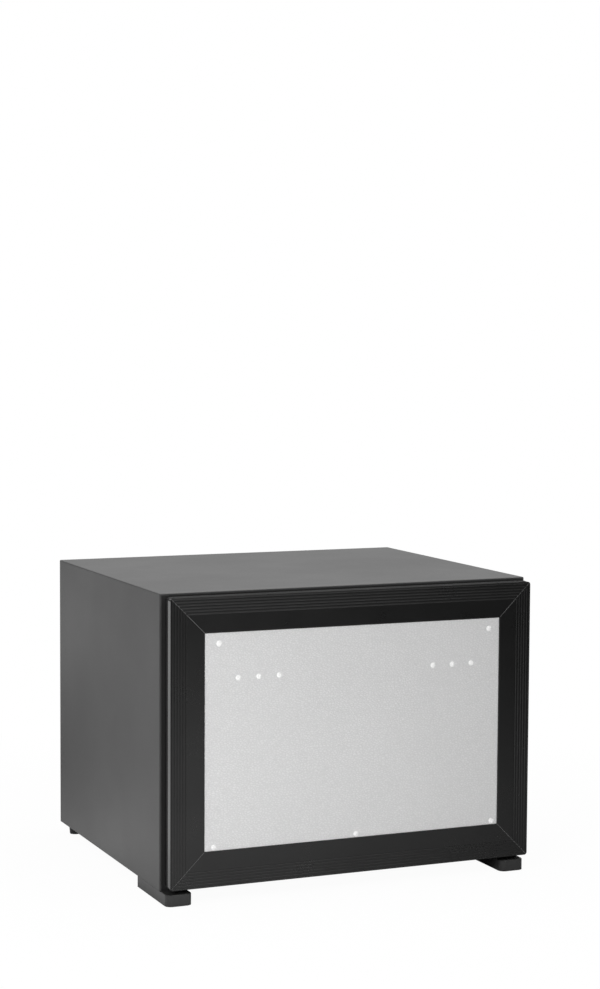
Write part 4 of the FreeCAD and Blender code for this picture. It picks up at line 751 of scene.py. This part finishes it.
class Finishes:
    """All finishes of the minibar, by what they are on."""

    charcoal = PaintedSteel("charcoal_paint", grey(0.038), 0.46, 0.03, 0.72)
    zinc = ZincSheet("zinc_sheet", (0.56, 0.57, 0.58), 0.42)
    black_frame = MouldedPlastic("black_frame_plastic", grey(0.0045), 0.30, Grain.SMOOTH, 0.50,
                                 edge=0.0008, top_gloss=0.2, side_gloss=1.8)
    black_trim = MouldedPlastic("black_trim_plastic", grey(0.019), 0.50, Grain.SPARK, 0.25)
    rear_black = MouldedPlastic("rear_cover_plastic", (0.020, 0.020, 0.022), 0.55, Grain.LEATHER, 0.4)
    foot_grey = MouldedPlastic("foot_plastic", grey(0.023), 0.33, Grain.SMOOTH, 0.48)
    fan_black = MouldedPlastic("fan_plastic", (0.018, 0.018, 0.019), 0.45, Grain.SMOOTH)
    dark_plastic = MouldedPlastic("dark_plastic", (0.028, 0.028, 0.030), 0.5, Grain.SPARK, 0.4)
    rocker_black = MouldedPlastic("rocker_plastic", (0.030, 0.030, 0.032), 0.25, Grain.SMOOTH, coat=0.3)
    liner_white = MouldedPlastic("liner_plastic", (0.76, 0.77, 0.77), 0.28, Grain.SMOOTH,
                                 coat=0.25, dust=0.02)
    cover_grey = MouldedPlastic("cover_plastic", (0.66, 0.68, 0.69), 0.34, Grain.SPARK, dust=0.02)
    white_dot = MouldedPlastic("white_fixing_plastic", (0.82, 0.82, 0.815), 0.34, Grain.SMOOTH,
                               coat=0.1, dust=0.0)
    knob_white = MouldedPlastic("knob_plastic", (0.82, 0.82, 0.80), 0.3, Grain.SMOOTH, coat=0.2, dust=0.0)
    bin_grey = MouldedPlastic("bin_plastic", (0.46, 0.48, 0.50), 0.33, Grain.SMOOTH, coat=0.15, dust=0.03)
    cut_edge = MouldedPlastic("cut_edge_plastic", grey(0.11), 0.35, Grain.SMOOTH)
    ceramic = MouldedPlastic("module_ceramic", (0.84, 0.83, 0.79), 0.5, Grain.SMOOTH)
    gasket = SoftRubber("gasket_vinyl", grey(0.009), 0.5, grey(0.016), 0.15)
    foot_rubber = SoftRubber("foot_rubber", (0.020, 0.020, 0.021), 0.62)
    magnet = SoftRubber("magnet_strip", (0.045, 0.038, 0.034), 0.7, (0.12, 0.09, 0.07))
    foam = RigidFoam("insulation_foam", (0.78, 0.70, 0.44), 0.85)
    collar = RigidFoam("collar_foam", (0.06, 0.06, 0.062), 0.8, 1500.0)
    panel = EmbossedSheet("embossed_aluminium", grey(0.85), 0.46)
    steel = BareMetal("zinc_plated_steel", (0.56, 0.57, 0.58), 0.30, (700.0, 30.0, 700.0))
    rail_steel = BareMetal("rail_steel", (0.58, 0.59, 0.60), 0.26, (900.0, 18.0, 900.0), 0.2)
    ball_steel = BareMetal("ball_steel", (0.70, 0.71, 0.72), 0.12, (60.0, 60.0, 60.0), 0.02)
    screw_steel = BareMetal("screw_steel", grey(0.60), 0.24, (500.0, 500.0, 500.0), 0.08)
    sink = BareMetal("sink_aluminium", (0.74, 0.75, 0.76), 0.32, (800.0, 800.0, 24.0), 0.2)
    lens = FrostedLens("lamp_lens", (0.88, 0.88, 0.86), 0.4)
    board = CircuitBoard("circuit_board", (0.03, 0.14, 0.06), 0.35)


def dress(obj: Object3D, finish: Finish) -> None:
    """Give an object one finish.

    Args:
        obj: Mesh object.
        finish: Finish whose material fills every slot.
    """
    material = finish.material()
    if not obj.material_slots:
        obj.data.materials.append(material)
    for slot in obj.material_slots:
        slot.material = material


def break_edges(obj: Object3D, radius: float, sharp_degrees: float = 40.0) -> None:
    """Round the sharp edges of a node a little, without touching its mesh.

    Args:
        obj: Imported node.
        radius: Edge radius in metres.
        sharp_degrees: Edges that bend less than this stay as they are.
    """
    weld = obj.modifiers.new("weld", "WELD")
    weld.merge_threshold = 1e-6
    bevel = obj.modifiers.new("edge", "BEVEL")
    bevel.width = radius
    bevel.segments = 2
    bevel.limit_method = "ANGLE"
    bevel.angle_limit = math.radians(sharp_degrees)
    bevel.use_clamp_overlap = True
    bevel.harden_normals = True


def link(obj: Object3D) -> Object3D:
    """Put an object in the scene and return it."""
    bpy.context.scene.collection.objects.link(obj)
    return obj


def mesh_piece(name: str, bm: bmesh.types.BMesh, finish: Finish) -> Object3D:
    """Turn a mesh under construction into a linked object with its finish.

    Args:
        name: Name of the piece.
        bm: Mesh under construction, which is freed.
        finish: Finish of the piece.

    Returns:
        The new object.
    """
    bmesh.ops.recalc_face_normals(bm, faces=bm.faces)
    mesh = bpy.data.meshes.new(name)
    bm.to_mesh(mesh)
    bm.free()
    piece = link(bpy.data.objects.new(name, mesh))
    dress(piece, finish)
    return piece


def rounded_loop(low: Span, high: Span, radius: float, steps: int = 6) -> list[Span]:
    """Walk round a rectangle with rounded corners in the XZ plane.

    Args:
        low: Lower left corner.
        high: Upper right corner.
        radius: Corner radius.
        steps: Steps in each corner.

    Returns:
        Points round the loop.
    """
    left, right = low[0] + radius, high[0] - radius
    bottom, top = low[1] + radius, high[1] - radius
    points = []
    for x, z, start in ((right, bottom, -90.0), (right, top, 0.0), (left, top, 90.0), (left, bottom, 180.0)):
        for i in range(steps + 1):
            angle = math.radians(start + 90.0 * i / steps)
            points.append((x + radius * math.cos(angle), z + radius * math.sin(angle)))
    return points


@dataclass
class SubAssembly:
    """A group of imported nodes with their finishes, and any visual pieces that belong to it."""

    nodes: dict[str, Object3D]

    finishes: ClassVar[dict[str, Finish]] = {}

    def soft_edges(self) -> dict[str, float]:
        """Return the edge radius in metres of nodes whose edges are broken, by node."""
        return {}

    def pieces(self) -> Iterable[Object3D]:
        """Build the extra visual pieces of the group."""
        return ()

    def build(self) -> None:
        """Dress the nodes, break their edges and build the extra pieces."""
        for name, finish in self.finishes.items():
            dress(self.nodes[name], finish)
            log.info("node %s in %s", name, finish.name)
        for name, radius in self.soft_edges().items():
            break_edges(self.nodes[name], radius)
        for piece in self.pieces():
            log.info("piece %s with %d vertices", piece.name, len(piece.data.vertices))
        log.info("%s: %d nodes dressed", type(self).__name__, len(self.finishes))


class CabinetShell(SubAssembly):
    """Steel shell, trim, insulation and liner."""

    finishes: ClassVar[dict[str, Finish]] = {
        "cabinet_wrap": Finishes.charcoal, "base_plate": Finishes.zinc, "rear_panel": Finishes.zinc,
        "breaker_frame": Finishes.black_trim, "foam_body": Finishes.foam,
        "rear_well": Finishes.dark_plastic, "inner_liner": Finishes.liner_white,
        "rail_backings": Finishes.zinc,
    }


class Feet(SubAssembly):
    """Two long front feet and two round rear feet with their screws."""

    finishes: ClassVar[dict[str, Finish]] = {
        "front_foot_left": Finishes.foot_grey, "front_foot_right": Finishes.foot_grey,
        "rear_feet": Finishes.foot_rubber, "case_screws": Finishes.screw_steel,
    }


@dataclass
class DrawerFront(SubAssembly):
    """Ribbed frame, embossed panel with its fixings, seal and inner skin."""

    band: float = 0.04345
    chamfer: float = 0.0008
    edge_radius: float = 0.00022
    rib_count: int = 6
    rib_pitch: float = 0.0036
    rib_first: float = 0.0018
    rib_width: float = 0.0016
    rib_depth: float = 0.00055
    line_width: float = 0.00046
    line_sink: float = 0.00008
    corner_start: float = 0.0012
    corner_radius: float = 0.0035
    # Section of the dark fin that paints the shade on the rear of the frame's side: depth, and how far it
    # stands proud.
    fin_section: tuple[Span, ...] = ((-0.20162, -0.0001), (-0.20158, 0.00008), (-0.2012, 0.0003),
                                     (-0.1990, 0.00038), (-0.1984, 0.0002), (-0.1983, -0.0001))

    mouldings: ClassVar[tuple[str, ...]] = tuple(
        f"front_frame_{side}" for side in ("top", "bottom", "left", "right"))

    finishes: ClassVar[dict[str, Finish]] = dict.fromkeys(mouldings, Finishes.black_frame) | {
        "front_panel": Finishes.panel, "panel_rivets": Finishes.white_dot, "hole_plugs": Finishes.white_dot,
        "front_gasket": Finishes.gasket, "gasket_magnets": Finishes.magnet,
        "front_liner": Finishes.liner_white, "front_foam": Finishes.foam,
        "corner_keys": Finishes.dark_plastic,
    }

    def soft_edges(self) -> dict[str, float]:
        """Return the edge radius of the frame mouldings, which also opens their mitres a little."""
        return dict.fromkeys(self.mouldings, self.edge_radius)

    def section(self) -> list[Span]:
        """Follow the moulding's face inwards over its ribs.

        Returns:
            Distances in from the outer edge, each with its depth behind the face.
        """
        half = self.rib_width / 2
        points = [(self.corner_start, 0.0)]
        for i in range(self.rib_count):
            middle = self.rib_first + i * self.rib_pitch
            points += [(middle - half, 0.0), (middle, self.rib_depth), (middle + half, 0.0)]
        return points + [(self.band - self.chamfer, 0.0), (self.band, self.chamfer)]

    def pieces(self) -> Iterable[Object3D]:
        """Build the pale cut edges that show in the mitres, and a dark fin over the frame's rear edge that is
        painted shade.

        Returns:
            Both pieces, riding on the drawer.
        """
        left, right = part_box("front_frame_left")[0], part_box("front_frame_right")[1]
        bottom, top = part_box("front_frame_bottom")[0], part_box("front_frame_top")[1]
        bm = bmesh.new()
        for x, side_x in ((left.x, -1.0), (right.x, 1.0)):
            for z, side_z in ((bottom.z, -1.0), (top.z, 1.0)):
                self.cut_line(bm, Vector((x, left.y, z)), Vector((-side_x, 0.0, -side_z)))
        lines = mesh_piece("mitre_cut_lines", bm, Finishes.cut_edge)
        thick = lines.modifiers.new("thickness", "SOLIDIFY")
        thick.thickness = self.line_sink / 2
        thick.offset = 0.0
        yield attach(lines, Body.DRAWER.value)
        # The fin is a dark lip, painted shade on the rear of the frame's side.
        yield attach(self.fin((left.x, bottom.z), (right.x, top.z)), Body.DRAWER.value)

    def fin(self, low: Span, high: Span) -> Object3D:
        """Build a thin soft dark lip that wraps the frame's rear edge: painted shade where that edge lies in
        the shadow of the gap behind the drawer front.

        Args:
            low: Lower left corner of the frame's outline.
            high: Upper right corner of the frame's outline.

        Returns:
            The fin.
        """
        bm = bmesh.new()
        rings = []
        for y, proud in self.fin_section:
            loop = rounded_loop((low[0] - proud, low[1] - proud), (high[0] + proud, high[1] + proud),
                                self.corner_radius + proud)
            rings.append([bm.verts.new((x, y, z)) for x, z in loop])
        for here, after in zip(rings, rings[1:] + rings[:1]):
            for i in range(len(here)):
                j = (i + 1) % len(here)
                bm.faces.new((here[i], here[j], after[j], after[i]))
        return mesh_piece("painted_shade_fin", bm, Finishes.gasket)

    def cut_line(self, bm: bmesh.types.BMesh, corner: Vector, inward: Vector) -> None:
        """Add one slim crowned ribbon that follows the moulding's face down a mitre.

        Args:
            bm: Mesh under construction.
            corner: Outer corner of the frame, on its face.
            inward: Step along the mitre for each unit of distance in from both edges.
        """
        across = inward.cross(Vector((0.0, 1.0, 0.0))).normalized() * self.line_width / 2
        crown = Vector((0.0, -self.line_sink / 3, 0.0))
        rows = []
        for distance, depth in self.section():
            middle = corner + inward * distance + Vector((0.0, depth + self.line_sink, 0.0))
            rows.append([bm.verts.new(p) for p in (middle - across, middle + crown, middle + across)])
        for here, after in zip(rows, rows[1:]):
            for i in (0, 1):
                bm.faces.new((here[i], here[i + 1], after[i + 1], after[i]))


class RailsAndArms(SubAssembly):
    """Ball-bearing rails, ball cages and the arms that carry the drawer."""

    finishes: ClassVar[dict[str, Finish]] = {
        f"{kind}_rail_{side}": Finishes.rail_steel
        for kind in ("cabinet", "middle", "drawer") for side in ("left", "right")
    } | {
        "arm_left": Finishes.steel, "arm_right": Finishes.steel, "arm_fasteners": Finishes.screw_steel,
        "rail_screws": Finishes.screw_steel, "outer_ball_cages": Finishes.ball_steel,
        "inner_ball_cages": Finishes.ball_steel,
    }


class BottleBin(SubAssembly):
    """Open bin with its sliding divider."""

    finishes: ClassVar[dict[str, Finish]] = {
        "drawer_bin": Finishes.bin_grey, "bin_divider": Finishes.bin_grey,
    }


class ColdSpace(SubAssembly):
    """Air cover, dial, lamp and tray inside the cavity."""

    finishes: ClassVar[dict[str, Finish]] = {
        "duct_cover": Finishes.cover_grey, "thermostat_knob": Finishes.knob_white,
        "thermostat_body": Finishes.dark_plastic, "temperature_sensor": Finishes.steel,
        "lamp_lens": Finishes.lens, "lamp_board": Finishes.board, "drip_tray": Finishes.liner_white,
    }


class CoolingUnit(SubAssembly):
    """Thermoelectric module between its two heat sinks, with the fans."""

    finishes: ClassVar[dict[str, Finish]] = {
        f"{side}_fan_{part}": Finishes.fan_black for side in ("cold", "hot") for part in ("frame", "rotor")
    } | {
        "cold_sink": Finishes.sink, "cold_block": Finishes.sink, "hot_sink": Finishes.sink,
        "block_collar": Finishes.collar, "peltier_module": Finishes.ceramic,
        "clamp_screws": Finishes.screw_steel,
    }


class PowerParts(SubAssembly):
    """Power supply, control board, inlet, switch and the rear cover."""

    finishes: ClassVar[dict[str, Finish]] = {
        "psu_case": Finishes.zinc, "control_board": Finishes.board, "mains_inlet": Finishes.dark_plastic,
        "power_rocker": Finishes.rocker_black, "rear_cover": Finishes.rear_black,
    }


@dataclass(frozen=True)
class StudioCamera:
    """Camera at the photograph's viewing angle."""

    place: Point = (-1.10222, -2.57690, 0.68468)
    turn_degrees: Point = (85.57966, -0.32016, -23.42110)
    lens: float = 78.82
    sensor_width: float = 36.0
    clip: Span = (0.05, 60.0)

    def build(self) -> None:
        """Create the camera and make it the scene's camera."""
        data = bpy.data.cameras.new("studio_camera")
        data.lens = self.lens
        data.sensor_width = self.sensor_width
        data.clip_start, data.clip_end = self.clip
        camera = link(bpy.data.objects.new("studio_camera", data))
        camera.location = self.place
        camera.rotation_euler = Euler([math.radians(a) for a in self.turn_degrees])
        bpy.context.scene.camera = camera


@dataclass(frozen=True)
class SoftBox:
    """Rectangular studio light that looks at a point."""

    name: str
    place: Point
    target: Point
    size: Span
    watts: float
    mirrored: bool = True

    def build(self) -> None:
        """Create the light."""
        data = bpy.data.lights.new(self.name, "AREA")
        data.shape = "RECTANGLE"
        data.size, data.size_y = self.size
        data.energy = self.watts
        light = link(bpy.data.objects.new(self.name, data))
        light.visible_glossy = self.mirrored
        light.location = self.place
        aim = Vector(self.target) - Vector(self.place)
        light.rotation_euler = aim.to_track_quat("-Z", "Y").to_euler()


@dataclass
class Studio:
    """Pale floor whose reflections carry painted light and shade, surrounding light that is brightest on the
    left, and soft boxes.
    """

    floor_radius: float = 9.0
    floor_sides: int = 96
    floor_colour: Colour = (0.86, 0.86, 0.86)
    floor_fade: Span = (0.35, 0.9)
    floor_near: float = 0.96
    floor_in_gloss: float = 0.95
    # Painted pool of light on the floor in front, seen only in reflections.
    painted_pool_centre: Point = (-0.65, -1.15, 0.0)
    painted_pool_fade: Span = (0.85, 1.45)
    painted_pool_levels: Span = (1.0, 0.03)
    # Painted shadow on the floor at the back left, seen only in reflections.
    shade_centre: Point = (-0.43, 1.0, 0.0)
    shade_reach: Point = (0.19, 0.75, 1.0)
    shade_turn: float = 0.25
    shade_fade: Span = (0.5, 1.2)
    shade_levels: Span = (0.1, 1.0)
    front_to_back: Span = (-0.25, 0.1)
    # Painted shadow on the floor under the cabinet, seen only in reflections.
    shadow_under_cabinet: Span = (0.235, 0.20)
    shadow_under_cabinet_fade: Span = (0.9, 1.15)
    shadow_under_cabinet_levels: Span = (0.02, 1.0)
    ambient: float = 0.43
    bright_side: Point = (0.2, 0.45, 0.87)
    bright_fade: Span = (0.42, 0.78)
    bright_levels: Span = (0.06, 1.0)
    lights: tuple[SoftBox, ...] = (
        SoftBox("left_box", (-1.3, -1.3, 1.0), (0.0, 0.0, 0.2), (1.0, 1.0), 21.0, False),
        SoftBox("top_box", (0.1, 0.2, 2.3), (0.0, 0.0, 0.3), (1.8, 1.8), 21.0),
        SoftBox("front_box", (0.6, -2.0, 1.7), (0.0, 0.0, 0.25), (1.2, 1.0), 7.5),
    )

    def build(self) -> None:
        """Create the floor, the world and the lights."""
        self.floor()
        self.world()
        for light in self.lights:
            light.build()

    def floor(self) -> None:
        """Create a round floor that fades into the white surround and can't be seen from below."""
        mesh = bpy.data.meshes.new("studio_floor")
        bm = bmesh.new()
        bmesh.ops.create_circle(bm, cap_ends=True, radius=self.floor_radius, segments=self.floor_sides)
        bm.to_mesh(mesh)
        bm.free()
        floor = link(bpy.data.objects.new("studio_floor", mesh))
        material = bpy.data.materials.new("studio_floor")
        material.use_nodes = True
        writer = NodeWriter(material.node_tree)
        rays = writer.add("ShaderNodeLightPath")
        camera = rays.outputs["Is Camera Ray"]
        mirrored = writer.math("MAXIMUM", rays.outputs["Is Glossy Ray"], rays.outputs["Is Transmission Ray"])
        where = writer.add("ShaderNodeTexCoord").outputs["Object"]
        away = writer.add("ShaderNodeVectorMath", {0: where}, operation="LENGTH").outputs["Value"]
        fade = writer.remap(away, *self.floor_fade, self.floor_near, 1.0)
        share = writer.math("MAXIMUM", writer.math("MULTIPLY", camera, fade),
                            writer.math("MULTIPLY", mirrored, self.floor_in_gloss))
        # Reflections see the floor with its painted pool of light and painted shadows.
        level = writer.math("MAXIMUM", camera, self.floor_in_mirrors(writer, where))
        matte = writer.add("ShaderNodeBsdfDiffuse", {"Color": self.floor_colour})
        glow = writer.add("ShaderNodeEmission", {"Color": WHITE, "Strength": level})
        both = writer.add("ShaderNodeMixShader", {0: share, 1: matte.outputs[0], 2: glow.outputs[0]})
        below = writer.add("ShaderNodeNewGeometry").outputs["Backfacing"]
        clear = writer.add("ShaderNodeBsdfTransparent")
        one_sided = writer.add("ShaderNodeMixShader", {0: below, 1: both.outputs[0], 2: clear.outputs[0]})
        writer.add("ShaderNodeOutputMaterial", {"Surface": one_sided.outputs[0]})
        mesh.materials.append(material)

    def floor_in_mirrors(self, writer: NodeWriter, where: Socket) -> Socket:
        """Write the floor's brightness in a reflection, with painted light and shade: a painted pool of light
        in front, pale behind with a painted shadow at the back left, and a painted shadow under the cabinet.

        Args:
            writer: Writer of the floor's tree.
            where: Place on the floor.

        Returns:
            The brightness socket.
        """
        # Painted pool of light on the floor in front of the cabinet.
        off = writer.vector("DISTANCE", where, self.painted_pool_centre, "Value")
        front = writer.remap(off, *self.painted_pool_fade, *self.painted_pool_levels)
        along = writer.add("ShaderNodeSeparateXYZ", {0: where}).outputs
        # Painted shadow on the floor behind, at the back left.
        laid = writer.add("ShaderNodeMapping",
                          {"Vector": where, "Location": self.shade_centre,
                           "Rotation": (0.0, 0.0, self.shade_turn), "Scale": self.shade_reach},
                          vector_type="TEXTURE").outputs[0]
        near = writer.add("ShaderNodeVectorMath", {0: laid}, operation="LENGTH").outputs["Value"]
        back = writer.remap(near, *self.shade_fade, *self.shade_levels)
        level = writer.remap(along[1], *self.front_to_back, front, back)
        # Painted shadow on the floor under the cabinet.
        across = [writer.math("DIVIDE", writer.math("ABSOLUTE", way), reach)
                  for way, reach in zip(along, self.shadow_under_cabinet)]
        clear_of_shadow = writer.remap(writer.math("MAXIMUM", *across), *self.shadow_under_cabinet_fade, *self.shadow_under_cabinet_levels)
        return writer.math("MULTIPLY", level, clear_of_shadow)

    def world(self) -> None:
        """Create the white surround, dimmer as a light than it looks."""
        world = bpy.data.worlds.new("studio")
        world.use_nodes = True
        bpy.context.scene.world = world
        writer = NodeWriter(world.node_tree)
        rays = writer.add("ShaderNodeLightPath")
        mirrored = writer.math("MAXIMUM", rays.outputs["Is Glossy Ray"], rays.outputs["Is Transmission Ray"])
        where = writer.add("ShaderNodeTexCoord").outputs["Generated"]
        along = writer.vector("DOT_PRODUCT", where, self.bright_side, "Value")
        level = writer.remap(along, *self.bright_fade, *self.bright_levels)
        strength = writer.math("MAXIMUM", rays.outputs["Is Camera Ray"],
                               writer.remap(mirrored, 0.0, 1.0, self.ambient, level))
        background = writer.add("ShaderNodeBackground", {"Color": WHITE, "Strength": strength})
        writer.add("ShaderNodeOutputWorld", {"Surface": background.outputs[0]})


def main() -> None:
    """Build the studio and dress every sub-assembly."""
    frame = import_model()
    bpy.context.scene.view_settings.view_transform = "Standard"
    StudioCamera().build()
    Studio().build()
    groups = (CabinetShell, Feet, DrawerFront, RailsAndArms, BottleBin, ColdSpace, CoolingUnit, PowerParts)
    for kind in groups:
        kind(frame["nodes"]).build()


if __name__ == "__main__":
    main()
